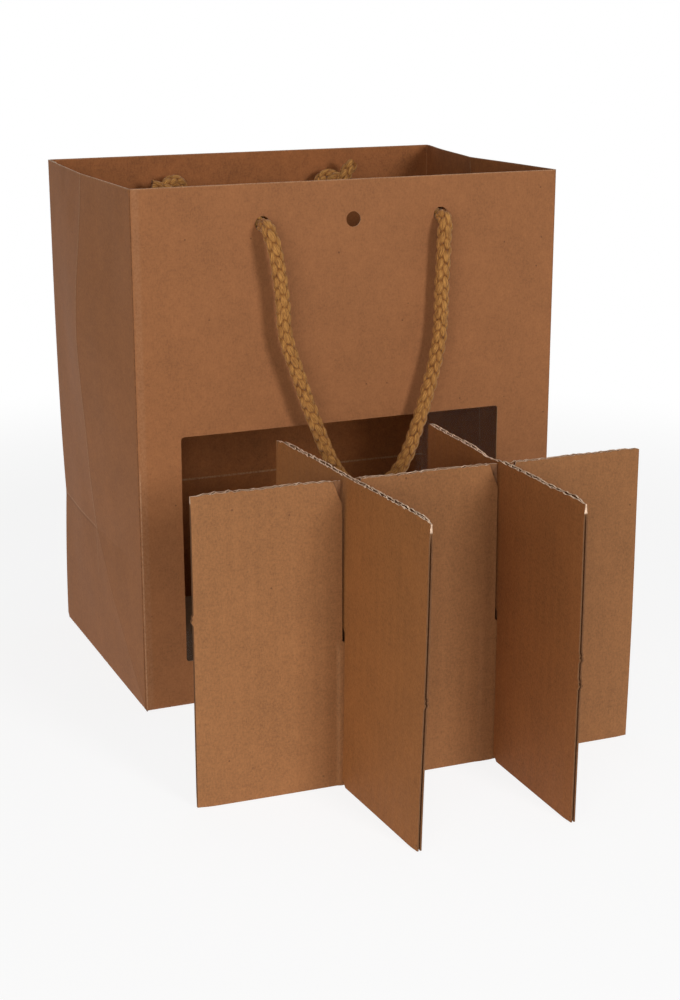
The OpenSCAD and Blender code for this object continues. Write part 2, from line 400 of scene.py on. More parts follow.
def sheet_body(
    plan: tuple[np.ndarray, np.ndarray], surface: Surface, thickness: float, tag: float = 0.0
) -> Body:
    """Folds a flat plan onto a surface and gives it a thickness.

    Args:
        plan: flat points and triangles, from CutPlan.mesh.
        surface: takes flat points and gives the sheet's outer face in space.
        thickness: how far the inner face lies behind the outer one, which faces along
            the plan's own normal, or against it when the thickness is negative.
        tag: a number kept in the third flat coordinate, for the materials.

    Returns:
        The sheet with both faces and its cut edges.
    """
    flat, triangles = plan
    if thickness < 0:
        triangles = triangles[:, ::-1]
    reach = 0.06
    across = surface(flat + [reach, 0.0]) - surface(flat - [reach, 0.0])
    upward = surface(flat + [0.0, reach]) - surface(flat - [0.0, reach])
    normals = np.cross(across, upward)
    normals /= np.linalg.norm(normals, axis=1, keepdims=True)
    outer = surface(flat)
    inner = outer - thickness * normals
    count = len(flat)
    directed = np.vstack([triangles[:, [0, 1]], triangles[:, [1, 2]], triangles[:, [2, 0]]])
    keys = {(int(a), int(b)) for a, b in directed}
    border = np.array([(a, b) for a, b in keys if (b, a) not in keys])
    border = border[np.lexsort((border[:, 1], border[:, 0]))]
    a, b = border[:, 0], border[:, 1]
    rim = np.vstack([np.stack([b, a, a + count], axis=1), np.stack([b, a + count, b + count], axis=1)])
    sizes = [len(triangles), len(triangles), len(rim)]
    return Body(
        np.vstack([outer, inner]),
        np.vstack([np.column_stack([flat, np.full(count, tag)])] * 2),
        np.vstack([triangles, triangles[:, ::-1] + count, rim]),
        np.repeat([Layer.OUTER, Layer.INNER, Layer.EDGE], sizes),
    )


class Graph:
    """Adds nodes to the tree of a material or a world, one short call at a time."""

    MIX_SHARE, MIX_FIRST, MIX_SECOND, MIX_RESULT = 0, 6, 7, 2

    def __init__(self, owner: bpy.types.Material | bpy.types.World) -> None:
        """Empties the tree of its owner.

        Args:
            owner: the material or the world.
        """
        self.owner = owner
        self.owner.use_nodes = True
        self.tree = self.owner.node_tree
        self.tree.nodes.clear()

    @classmethod
    def of_material(cls, name: str) -> Graph:
        """Makes a material of this name and gives its empty graph."""
        return cls(bpy.data.materials.new(name))

    def node(self, kind: str, inputs: dict | None = None, **settings: object) -> bpy.types.Node:
        """Adds a node.

        Args:
            kind: the node's type, without its ShaderNode prefix.
            inputs: values or sockets for its inputs, by name or by number.
            settings: its own properties.

        Returns:
            The new node.
        """
        made = self.tree.nodes.new("ShaderNode" + kind)
        for key, value in settings.items():
            setattr(made, key, value)
        for key, value in (inputs or {}).items():
            self.feed(made.inputs[key], value)
        return made

    def feed(self, socket: bpy.types.NodeSocket, value: object) -> None:
        """Links a socket to another, or sets its value.

        Args:
            socket: the input to feed.
            value: another socket, or a plain value.
        """
        if isinstance(value, bpy.types.NodeSocket):
            self.tree.links.new(value, socket)
        else:
            socket.default_value = value

    def feed_all(self, node: bpy.types.Node, values: Sequence[object]) -> bpy.types.NodeSocket:
        """Feeds a node's first inputs in their order.

        Args:
            node: the node.
            values: a socket or a plain value for each input.

        Returns:
            The node's first output.
        """
        for socket, value in zip(node.inputs, values):
            self.feed(socket, value)
        return node.outputs[0]

    def math(self, operation: str, *values: object, clamp: bool = False) -> bpy.types.NodeSocket:
        """Adds a Math node and gives its result."""
        return self.feed_all(self.node("Math", operation=operation, use_clamp=clamp), values)

    def mix(
        self, share: object, first: object, second: object, how: str = "MIX"
    ) -> bpy.types.NodeSocket:
        """Mixes two colours.

        Args:
            share: how much of the second colour to take.
            first: the first colour.
            second: the second colour.
            how: the blend type.

        Returns:
            The mixed colour.
        """
        inputs = {self.MIX_SHARE: share, self.MIX_FIRST: first, self.MIX_SECOND: second}
        made = self.node("Mix", inputs, data_type="RGBA", blend_type=how, clamp_factor=True)
        return made.outputs[self.MIX_RESULT]

    def ramp(
        self, value: object, low: object, high: object, to: tuple[float, float] = (0.0, 1.0)
    ) -> bpy.types.NodeSocket:
        """Maps a value smoothly to another range.

        Args:
            value: the value.
            low: where its own range starts.
            high: where its own range ends.
            to: the new range.

        Returns:
            The mapped value, kept within the new range.
        """
        made = self.node("MapRange", interpolation_type="SMOOTHSTEP", clamp=True)
        return self.feed_all(made, (value, low, high, *to))

    def noise(
        self, vector: object, scale: float, detail: float = 4.0, roughness: float = 0.55
    ) -> bpy.types.NodeSocket:
        """Adds a noise texture.

        Args:
            vector: where to read it.
            scale: its scale.
            detail: how many finer layers it has.
            roughness: how strong the finer layers are.

        Returns:
            Its value.
        """
        inputs = {"Vector": vector, "Scale": scale, "Detail": detail, "Roughness": roughness}
        return self.node("TexNoise", inputs).outputs[0]

    def streaks(
        self, vector: object, scale: tuple[float, float, float], detail: float, roughness: float
    ) -> bpy.types.NodeSocket:
        """Adds a noise texture with its own scale along each axis.

        Args:
            vector: where to read it.
            scale: its scale along each axis.
            detail: how many finer layers it has.
            roughness: how strong the finer layers are.

        Returns:
            Its value.
        """
        stretched = self.feed_all(self.node("VectorMath", operation="MULTIPLY"), (vector, scale))
        return self.noise(stretched, 1.0, detail, roughness)

    def flat(self) -> bpy.types.NodeSocket:
        """Reads where each point lay on its flat sheet."""
        return self.node("Attribute", attribute_name="flat").outputs["Vector"]

    def grey(self, value: object) -> bpy.types.NodeSocket:
        """Turns a value into a grey colour."""
        return self.feed_all(self.node("CombineColor"), (value,) * 3)

    def seen_ray(self) -> bpy.types.NodeSocket:
        """Tells the rays that show a thing from those that only carry light.

        Returns:
            1 for a camera, a glossy or a transmission ray, 0 for any other.
        """
        path = self.node("LightPath").outputs
        seen = self.math("MAXIMUM", path["Is Camera Ray"], path["Is Glossy Ray"])
        return self.math("MAXIMUM", seen, path["Is Transmission Ray"])

    def finish(self, shader: bpy.types.Node) -> bpy.types.Material:
        """Links the shader to the output and gives the material."""
        self.node("OutputMaterial", {"Surface": shader.outputs[0]})
        return self.owner

    def matt(
        self,
        colour: object,
        roughness: object,
        height: object,
        bump: tuple[float, float],
        levels: dict[str, float],
    ) -> bpy.types.Material:
        """Finishes the material with a principled shader and a bump.

        Args:
            colour: the base colour.
            roughness: the roughness.
            height: the height that the bump follows.
            bump: the bump's strength, and its distance in metres.
            levels: the shader's other inputs, by name.

        Returns:
            The finished material.
        """
        strength, distance = bump
        raised = self.node("Bump", {"Strength": strength, "Distance": distance, "Height": height})
        inputs = {"Base Color": colour, "Roughness": roughness, "Normal": raised.outputs[0]}
        return self.finish(self.node("BsdfPrincipled", {**inputs, **levels}))


def srgb(red: float, green: float, blue: float) -> tuple[float, float, float, float]:
    """Turns a display colour into the linear colour that shaders take.

    Args:
        red: the red channel, 0 to 255.
        green: the green channel.
        blue: the blue channel.

    Returns:
        The linear colour, with an alpha of 1.
    """
    channels = []
    for value in (red, green, blue):
        share = value / 255
        channels.append(share / 12.92 if share <= 0.04045 else ((share + 0.055) / 1.055) ** 2.4)
    return (*channels, 1.0)


@dataclass(frozen=True)
class FoldMark:
    """A straight crease on the flat sheet that shows as a pale line, partly rubbed wear and partly
    painted highlight, or as a dark line of painted shade.

    Args:
        along: the flat coordinate that is constant on it, 0 or 1, or 2 for their difference.
        place: that coordinate's value, in millimetres.
        width: half the width of the worn line.
        strength: how pale it gets, or how dark for a dark line.
        low: where it starts on the other coordinate.
        high: where it ends on the other coordinate.
        dark: whether it is a dark line of painted shade instead of a pale one.
    """

    along: int
    place: float
    width: float
    strength: float
    low: float = -1e3
    high: float = 1e3
    dark: bool = False

    END_FADE = 4.0

    def line(self, graph: Graph, places: Sequence[bpy.types.NodeSocket]) -> bpy.types.NodeSocket:
        """Draws the line.

        Args:
            graph: the material in the making.
            places: the two flat coordinates and their difference.

        Returns:
            How strongly the line shows.
        """
        off = graph.math("ABSOLUTE", graph.math("SUBTRACT", places[self.along], self.place))
        near = graph.ramp(off, self.width * 0.3, self.width, (self.strength, 0.0))
        other = places[0 if self.along == 1 else 1]
        begun = graph.ramp(other, self.low - self.END_FADE, self.low + self.END_FADE)
        ended = graph.ramp(other, self.high - self.END_FADE, self.high + self.END_FADE, (1.0, 0.0))
        return graph.math("MULTIPLY", near, graph.math("MULTIPLY", begun, ended))


@dataclass(frozen=True)
class KraftFinish:
    """Unbleached kraft paper: fibres, mottle, specks, and crease lines, the pale ones partly worn and
    partly painted highlight, the dark ones painted shade.

    Args:
        name: the material's name.
        colour: the sheet's average colour.
        worn: the colour of the pale crease lines, partly rubbed wear and partly painted highlight.
        crease_shade: the colour of the dark crease lines, painted shade beside the folds.
        warm: the colour of its warmer fibres.
        speck: the colour of its dark specks.
        mottle: how strongly the cloudy mottle shows.
        fibre: how strongly the fine fibres show.
        roughness: the sheet's roughness.
        flute_pitch: distance between the flutes that show through, or 0 for none.
        flute_start: where the first flute's crest lies.
        marks: the creases that show as pale or dark lines.
    """

    name: str
    colour: Colour
    worn: Colour = (186, 146, 112)
    crease_shade: Colour = (84, 48, 26)
    warm: Colour = (168, 116, 66)
    speck: Colour = (66, 36, 20)
    mottle: float = 0.12
    fibre: float = 0.26
    roughness: float = 0.74
    flute_pitch: float = 0.0
    flute_start: float = 0.0
    marks: tuple[FoldMark, ...] = ()

    def material(self) -> bpy.types.Material:
        """Builds the material.

        Returns:
            The node material, read from the mesh's flat coordinates.
        """
        graph = Graph.of_material(self.name)
        flat = graph.flat()
        split = graph.node("SeparateXYZ", {"Vector": flat}).outputs
        clouds = graph.streaks(flat, (0.05, 0.04, 1.0), 4.0, 0.6)
        patches = graph.streaks(flat, (0.32, 0.24, 1.0), 3.0, 0.6)
        blots = graph.streaks(flat, (1.1, 0.8, 1.0), 2.0, 0.6)
        upright = graph.streaks(flat, (2.2, 0.45, 1.0), 3.0, 0.7)
        level = graph.streaks(flat, (0.5, 1.9, 1.0), 3.0, 0.7)
        grain = graph.streaks(flat, (2.6, 2.6, 1.0), 1.0, 0.6)
        layers = (
            (clouds, 2.4 * self.mottle),
            (patches, 2.2 * self.mottle),
            (blots, 1.5 * self.fibre),
            (upright, 1.7 * self.fibre),
            (level, 1.3 * self.fibre),
            (grain, 0.8 * self.fibre),
        )
        value: object = 1.0
        for layer, weight in layers:
            share = graph.math("MULTIPLY", graph.math("SUBTRACT", layer, 0.5), weight)
            value = graph.math("ADD", value, share)
        height = graph.math("MULTIPLY", graph.math("ADD", upright, grain), 0.5)
        if self.flute_pitch > 0:
            off = graph.math("SUBTRACT", split[0], self.flute_start)
            crest = graph.math("COSINE", graph.math("MULTIPLY", off, 2 * math.pi / self.flute_pitch))
            value = graph.math("ADD", value, graph.math("MULTIPLY", crest, 0.018))
            height = graph.math("ADD", height, graph.math("MULTIPLY", crest, 0.55))
        base = graph.mix(1.0, srgb(*self.colour), graph.grey(value), "MULTIPLY")
        warm = graph.mix(graph.ramp(blots, 0.35, 0.7, (0.0, 0.16)), base, srgb(*self.warm))
        specks = graph.node("TexVoronoi", {"Vector": flat, "Scale": 0.085, "Randomness": 1.0})
        dots = graph.ramp(specks.outputs["Distance"], 0.02, 0.05, (0.55, 0.0))
        colour = graph.mix(dots, warm, srgb(*self.speck))
        # Pale lines: partly wear, partly painted highlight on the folds; dark lines: painted shade
        # beside them.
        for dark, line_colour in ((False, self.worn), (True, self.crease_shade)):
            colour = graph.mix(self.lines(graph, split, blots, dark), colour, srgb(*line_colour))
        rough = graph.math("ADD", self.roughness - 0.05, graph.math("MULTIPLY", upright, 0.10))
        return graph.matt(colour, rough, height, (0.35, 0.00012), {"Specular IOR Level": 0.28})

    def lines(
        self,
        graph: Graph,
        split: Sequence[bpy.types.NodeSocket],
        blots: bpy.types.NodeSocket,
        dark: bool,
    ) -> bpy.types.NodeSocket:
        """Adds up the pale or the dark lines of the creases.

        Args:
            graph: the material in the making.
            split: the flat coordinates, one socket each.
            blots: a noise that breaks the lines up.
            dark: which of the lines to take.

        Returns:
            The share of the lines' colour.
        """
        total: bpy.types.NodeSocket | float = 0.0
        places = [split[0], split[1], graph.math("SUBTRACT", split[0], split[1])]
        for mark in self.marks:
            if mark.dark is dark:
                total = graph.math("ADD", total, mark.line(graph, places))
        broken = graph.ramp(blots, 0.3, 0.65, (0.35, 1.3))
        return graph.math("MULTIPLY", total, broken, clamp=True)


@dataclass(frozen=True)
class RawEdgeFinish:
    """The pale, fuzzy edge where paper or board was cut.

    Args:
        name: the material's name.
        colour: its average colour along the top, where it is torn.
        side_colour: its average colour elsewhere, where it is cut clean; on the board this colour is
            dark, painted shade between the liners.
        top_from: the height above which it counts as the top, in millimetres.
        tuft: the colour of its darker tufts.
    """

    name: str
    colour: Colour
    side_colour: Colour
    top_from: float
    tuft: Colour = (132, 94, 66)

    def material(self) -> bpy.types.Material:
        """Builds the material.

        Returns:
            The node material, read from the mesh's flat coordinates.
        """
        graph = Graph.of_material(self.name)
        height = graph.node("SeparateXYZ", {"Vector": graph.flat()}).outputs[1]
        place = graph.node("TexCoord").outputs["Object"]
        fuzz = graph.noise(place, 2400.0, 4.0, 0.7)
        tufts = graph.noise(place, 420.0, 3.0, 0.6)
        on_top = graph.ramp(height, self.top_from - 0.5, self.top_from + 0.5)
        # Below the top the edge takes the side colour, which on the board is painted shade between the
        # liners.
        plain = graph.mix(on_top, srgb(*self.side_colour), srgb(*self.colour))
        colour = graph.mix(graph.ramp(tufts, 0.35, 0.7, (0.0, 0.5)), plain, srgb(*self.tuft))
        lit = graph.mix(graph.ramp(fuzz, 0.5, 0.8, (0.0, 0.3)), colour, plain)
        return graph.matt(lit, 0.9, fuzz, (0.6, 0.0002), {"Specular IOR Level": 0.15})


@dataclass(frozen=True)
class CardFinish:
    """Grey-brown recycled card of the loose bottom board.

    Args:
        name: the material's name.
        colour: its average colour.
        pale: the colour of its paler clouds.
        fibre: the colour of its dark fibres.
    """

    name: str
    colour: Colour
    pale: Colour = (126, 98, 74)
    fibre: Colour = (84, 60, 44)

    def material(self) -> bpy.types.Material:
        """Builds the material.

        Returns:
            The node material, read from the object's own coordinates.
        """
        graph = Graph.of_material(self.name)
        place = graph.node("TexCoord").outputs["Object"]
        clouds = graph.noise(place, 60.0, 5.0, 0.6)
        fibres = graph.streaks(place, (400.0, 1600.0, 900.0), 4.0, 0.7)
        shade = graph.mix(graph.ramp(clouds, 0.3, 0.7), srgb(*self.colour), srgb(*self.pale))
        colour = graph.mix(graph.ramp(fibres, 0.35, 0.75, (0.0, 0.45)), shade, srgb(*self.fibre))
        return graph.matt(colour, 0.85, fibres, (0.4, 0.0002), {"Specular IOR Level": 0.2})


@dataclass(frozen=True)
class FilmFinish:
    """Clear glossy window film.

    Args:
        name: the material's name.
        tint: the faint tint of what shows through it.
        ior: the film's index of refraction, which sets its gloss.
    """

    name: str
    tint: tuple[float, float, float, float] = (0.97, 0.96, 0.94, 1.0)
    ior: float = 1.16

    def material(self) -> bpy.types.Material:
        """Builds the material.

        Returns:
            The node material, clear where it is seen straight on.
        """
        graph = Graph.of_material(self.name)
        flat = graph.flat()
        waves = graph.streaks(flat, (0.03, 0.05, 1.0), 3.0, 0.5)
        bump = graph.node("Bump", {"Strength": 0.25, "Distance": 0.001, "Height": waves})
        haze = graph.ramp(graph.noise(flat, 0.4, 5.0, 0.7), 0.4, 0.8, (0.03, 0.10))
        clear = graph.node("BsdfTransparent", {"Color": self.tint})
        gloss = graph.node("BsdfGlossy", {"Roughness": haze, "Normal": bump.outputs[0]})
        edge = graph.node("Fresnel", {"IOR": self.ior, "Normal": bump.outputs[0]})
        shaders = {0: edge.outputs[0], 1: clear.outputs[0], 2: gloss.outputs[0]}
        return graph.finish(graph.node("MixShader", shaders))


@dataclass(frozen=True)
class RopeFinish:
    """Tan braided rope, each strand a bundle of fine yarns with a slight sheen.

    Args:
        name: the material's name.
        colour: the strands' average colour.
        crevice_shade: painted shade between the strands, taken where the braid lies deep.
        shade: the colour of the darker yarns.
        lint: the colour of the pale lint.
        worn: the colour of the duller stretches.
    """

    name: str
    colour: Colour
    crevice_shade: Colour
    shade: Colour = (126, 80, 38)
    lint: Colour = (214, 170, 112)
    worn: Colour = (150, 98, 48)

    def material(self) -> bpy.types.Material:
        """Builds the material.

        Returns:
            The node material; the third flat coordinate is the depth in the braid, which sets how much
            painted shade a place takes.
        """
        graph = Graph.of_material(self.name)
        flat = graph.flat()
        depth = graph.node("SeparateXYZ", {"Vector": flat}).outputs[2]
        yarns = graph.streaks(flat, (3.6, 0.28, 0.0), 3.0, 0.65)
        lint = graph.streaks(flat, (5.0, 3.0, 0.0), 3.0, 0.6)
        slow = graph.streaks(flat, (0.2, 0.12, 0.0), 2.0, 0.5)
        tone = graph.mix(graph.ramp(yarns, 0.32, 0.7), srgb(*self.colour), srgb(*self.shade))
        light = graph.mix(graph.ramp(lint, 0.55, 0.85, (0.0, 0.35)), tone, srgb(*self.lint))
        varied = graph.mix(graph.ramp(slow, 0.35, 0.7, (0.0, 0.25)), light, srgb(*self.worn))
        # Painted shade: the deeper a place lies in the braid, the more it takes the colour of the shade
        # between the strands.
        deep = graph.ramp(depth, 0.30, 0.88, (0.9, 0.0))
        colour = graph.mix(deep, varied, srgb(*self.crevice_shade))
        height = graph.math("ADD", graph.math("MULTIPLY", yarns, 0.8), graph.math("MULTIPLY", lint, 0.2))
        levels = {"Specular IOR Level": 0.14, "Sheen Weight": 0.12, "Sheen Roughness": 0.5}
        return graph.matt(colour, 0.68, height, (0.8, 0.00025), levels)


@dataclass
class BagForm:
    """The folded shape of the bag's wall, as in the CAD model but in thinner paper.

    Flat coordinates run round the wall from the back left fold: over the back,
    down the right gusset, over the front and back up the left gusset.

    Args:
        width: the width across the front.
        depth: the depth from front to back.
        height: the height of the rim.
        paper: the sheet's thickness.
        fold_r: the radius of the upright folds.
        crease_r: the radius of the gussets' creases.
        lap: the width of the glued lap.
        flap_lap: how far the front bottom flap passes the middle of the base.
        left_bow: how far the left gusset bows out at most.
        right_tuck: how far the right gusset is tucked in at the rim.
        back_pinch: how far the back folds are pinched in at the base crease.
        low_bulge: the left gusset's bulge below the base crease, as a share of left_bow.
        bow_shares: places between the base crease and the rim, as shares of the way.
        bow_sizes: the left gusset's bow at those places, as shares of left_bow.
        bow_blur: heights over which the bow is averaged.
        bow_blend: how far above the base crease the averaging is faded in.
    """

    width: float = 210.0
    depth: float = 141.0
    height: float = 242.0
    paper: float = 0.5
    fold_r: float = 1.4
    crease_r: float = 1.0
    lap: float = 15.0
    flap_lap: float = 10.0
    left_bow: float = 8.0
    right_tuck: float = 10.0
    back_pinch: float = 1.5
    low_bulge: float = 0.16
    bow_shares: tuple[float, ...] = (0.0, 0.14, 0.28, 0.4, 0.56, 0.7, 0.78, 0.88, 1.0)
    bow_sizes: tuple[float, ...] = (0.16, 0.45, 0.61, 0.81, 1.0, 0.88, 0.69, 0.49, 0.33)
    bow_blur: tuple[float, ...] = (-8.0, -4.0, 0.0, 4.0, 8.0)
    bow_blend: float = 14.0

    @property
    def crease_z(self) -> float:
        """Height of the base creases."""
        return self.depth / 2

    @property
    def front_u(self) -> float:
        """Flat place of the front's right fold, where the front begins."""
        return self.width + self.depth

    @property
    def left_u(self) -> float:
        """Flat place of the front's left fold, where the left gusset begins."""
        return 2 * self.width + self.depth

    @property
    def end_u(self) -> float:
        """Flat place of the left gusset's cut end at the back left fold."""
        return 2 * self.width + 2 * self.depth

    def front_place(self, x: float) -> float:
        """Gives the flat place on the front of a point at x."""
        return self.front_u + self.width / 2 - x

    def back_place(self, x: float) -> float:
        """Gives the flat place on the back of a point at x."""
        return self.width / 2 + x

    def upper(self, z: np.ndarray) -> np.ndarray:
        """Share of the way from the base crease to the rim."""
        return np.clip((z - self.crease_z) / (self.height - self.crease_z), 0.0, 1.0)

    def left_out(self, z: np.ndarray) -> np.ndarray:
        """Gives how far the left gusset's crease stands out, smoothed along the crease.

        Args:
            z: the heights.

        Returns:
            One distance for each height.
        """
        above = sum(
            np.interp(self.upper(np.maximum(z + off, self.crease_z)), self.bow_shares, self.bow_sizes)
            for off in self.bow_blur
        ) / len(self.bow_blur)
        lower = np.clip(z / self.crease_z, 0.0, 1.0)
        below = self.bow_sizes[0] * lower + self.low_bulge * np.sin(math.pi * lower)
        blend = np.clip((z - self.crease_z) / self.bow_blend, 0.0, 1.0)
        plain = np.interp(self.upper(z), self.bow_shares, self.bow_sizes)
        return self.left_bow * np.where(z < self.crease_z, below, plain + blend * (above - plain))

    def right_in(self, z: np.ndarray) -> np.ndarray:
        """How far the right gusset's crease is tucked in."""
        return self.right_tuck * self.upper(z) ** 1.4

    def back_in(self, z: np.ndarray) -> np.ndarray:
        """How far the back folds are pinched in around the base crease."""
        low = np.clip(z / self.crease_z, 0.0, 1.0) ** 2
        return self.back_pinch * np.where(z < self.crease_z, low, (1 - self.upper(z)) ** 4)

    def corners(self, z: np.ndarray) -> tuple[np.ndarray, np.ndarray, np.ndarray]:
        """Gives the wall's fold points at some heights.

        Args:
            z: the heights.

        Returns:
            The folds' flat places and their places in x and y, each one row per
            height, and the radius that each fold is rounded with.
        """
        half_w, half_d = self.width / 2, self.depth / 2
        one = np.ones_like(z)
        back = self.back_in(z)
        kink = np.where(z < self.crease_z, np.clip(z, 2 * self.fold_r, None), half_d)
        kink_y = kink - half_d
        left_x = -half_w - self.left_out(z)
        places = [
            (-self.lap * one, None, None),
            (0.0 * one, -half_w + back + self.paper + 0.05, half_d - back),
            (self.width * one, half_w - back, half_d - back),
            (self.front_u - kink, half_w - self.right_in(z), kink_y),
            (self.front_u * one, half_w * one, -half_d * one),
            (self.left_u * one, -half_w * one, -half_d * one),
            (self.left_u + kink, left_x, kink_y),
            (self.end_u * one, -half_w + back, half_d - back),
        ]
        lap_run = np.stack([left_x - places[7][1], kink_y - places[7][2]], axis=1)
        lap_run *= self.lap / np.linalg.norm(lap_run, axis=1, keepdims=True)
        places[0] = (places[0][0], places[1][1] + lap_run[:, 0], places[1][2] + lap_run[:, 1])
        u = np.stack([place[0] for place in places], axis=1)
        xy = np.stack([np.stack(place[1:], axis=1) for place in places], axis=1)
        fold, crease = self.fold_r, self.crease_r
        return u, xy, np.array([0, fold, fold, crease, fold, fold, crease, 0])

    def ripple(self, flat: np.ndarray) -> np.ndarray:
        """Gives the slight waviness of the panels between the folds.

        Args:
            flat: places round the wall and heights.

        Returns:
            How far each point stands outward.
        """
        u, z = flat[:, 0], flat[:, 1]
        half = self.depth / 2
        folds = [0.0, self.width, self.front_u - half, self.front_u, self.left_u, self.left_u + half]
        gap = np.abs(u[:, None] - np.array([*folds, self.end_u])).min(axis=1)
        away = np.clip(gap / 30.0, 0.0, 1.0)
        calm = away**2 * (3 - 2 * away)
        base = np.clip(z / 25.0, 0.0, 1.0)
        return 0.55 * calm * base * wander(flat, 150.0, 5) + 0.10 * calm * base * wander(flat, 34.0, 6)

    def outside(self, flat: np.ndarray) -> np.ndarray:
        """Folds flat points onto the wall's outer face.

        Args:
            flat: places round the wall and heights.

        Returns:
            The points in space.
        """
        u, z = flat[:, 0], flat[:, 1]
        marks, xy, radii = self.corners(np.clip(z, 0.0, self.height))
        rows = np.arange(len(u))
        part = (u[:, None] >= marks[:, 1:7]).sum(axis=1)
        start, end = xy[rows, part], xy[rows, part + 1]
        share = (u - marks[rows, part]) / (marks[rows, part + 1] - marks[rows, part])
        ground = start + share[:, None] * (end - start)
        for k in range(1, 7):
            near = np.abs(u - marks[:, k]) < radii[k]
            if near.any():
                t = ((u - marks[:, k] + radii[k]) / (2 * radii[k]))[near, None]
                before = (xy[:, k] - xy[:, k - 1]) / (marks[:, k] - marks[:, k - 1])[:, None]
                after = (xy[:, k + 1] - xy[:, k]) / (marks[:, k + 1] - marks[:, k])[:, None]
                first = (xy[:, k] - radii[k] * before)[near]
                last = (xy[:, k] + radii[k] * after)[near]
                ground[near] = (1 - t) ** 2 * first + 2 * t * (1 - t) * xy[near, k] + t**2 * last
        run = end - start
        run /= np.linalg.norm(run, axis=1, keepdims=True)
        outward = np.stack([-run[:, 1], run[:, 0]], axis=1)
        low = np.clip(self.fold_r - z, 0.0, self.fold_r)
        curl = self.fold_r - np.sqrt(self.fold_r**2 - low**2)
        ground += outward * (self.ripple(flat) - curl)[:, None]
        return np.column_stack([ground, z])

    def inside(self, flat: np.ndarray, depth: float) -> np.ndarray:
        """Gives points behind the front's outer face.

        Args:
            flat: places round the wall and heights.
            depth: how far behind it they lie.

        Returns:
            The points in space.
        """
        points = self.outside(flat)
        points[:, 1] += depth
        return points


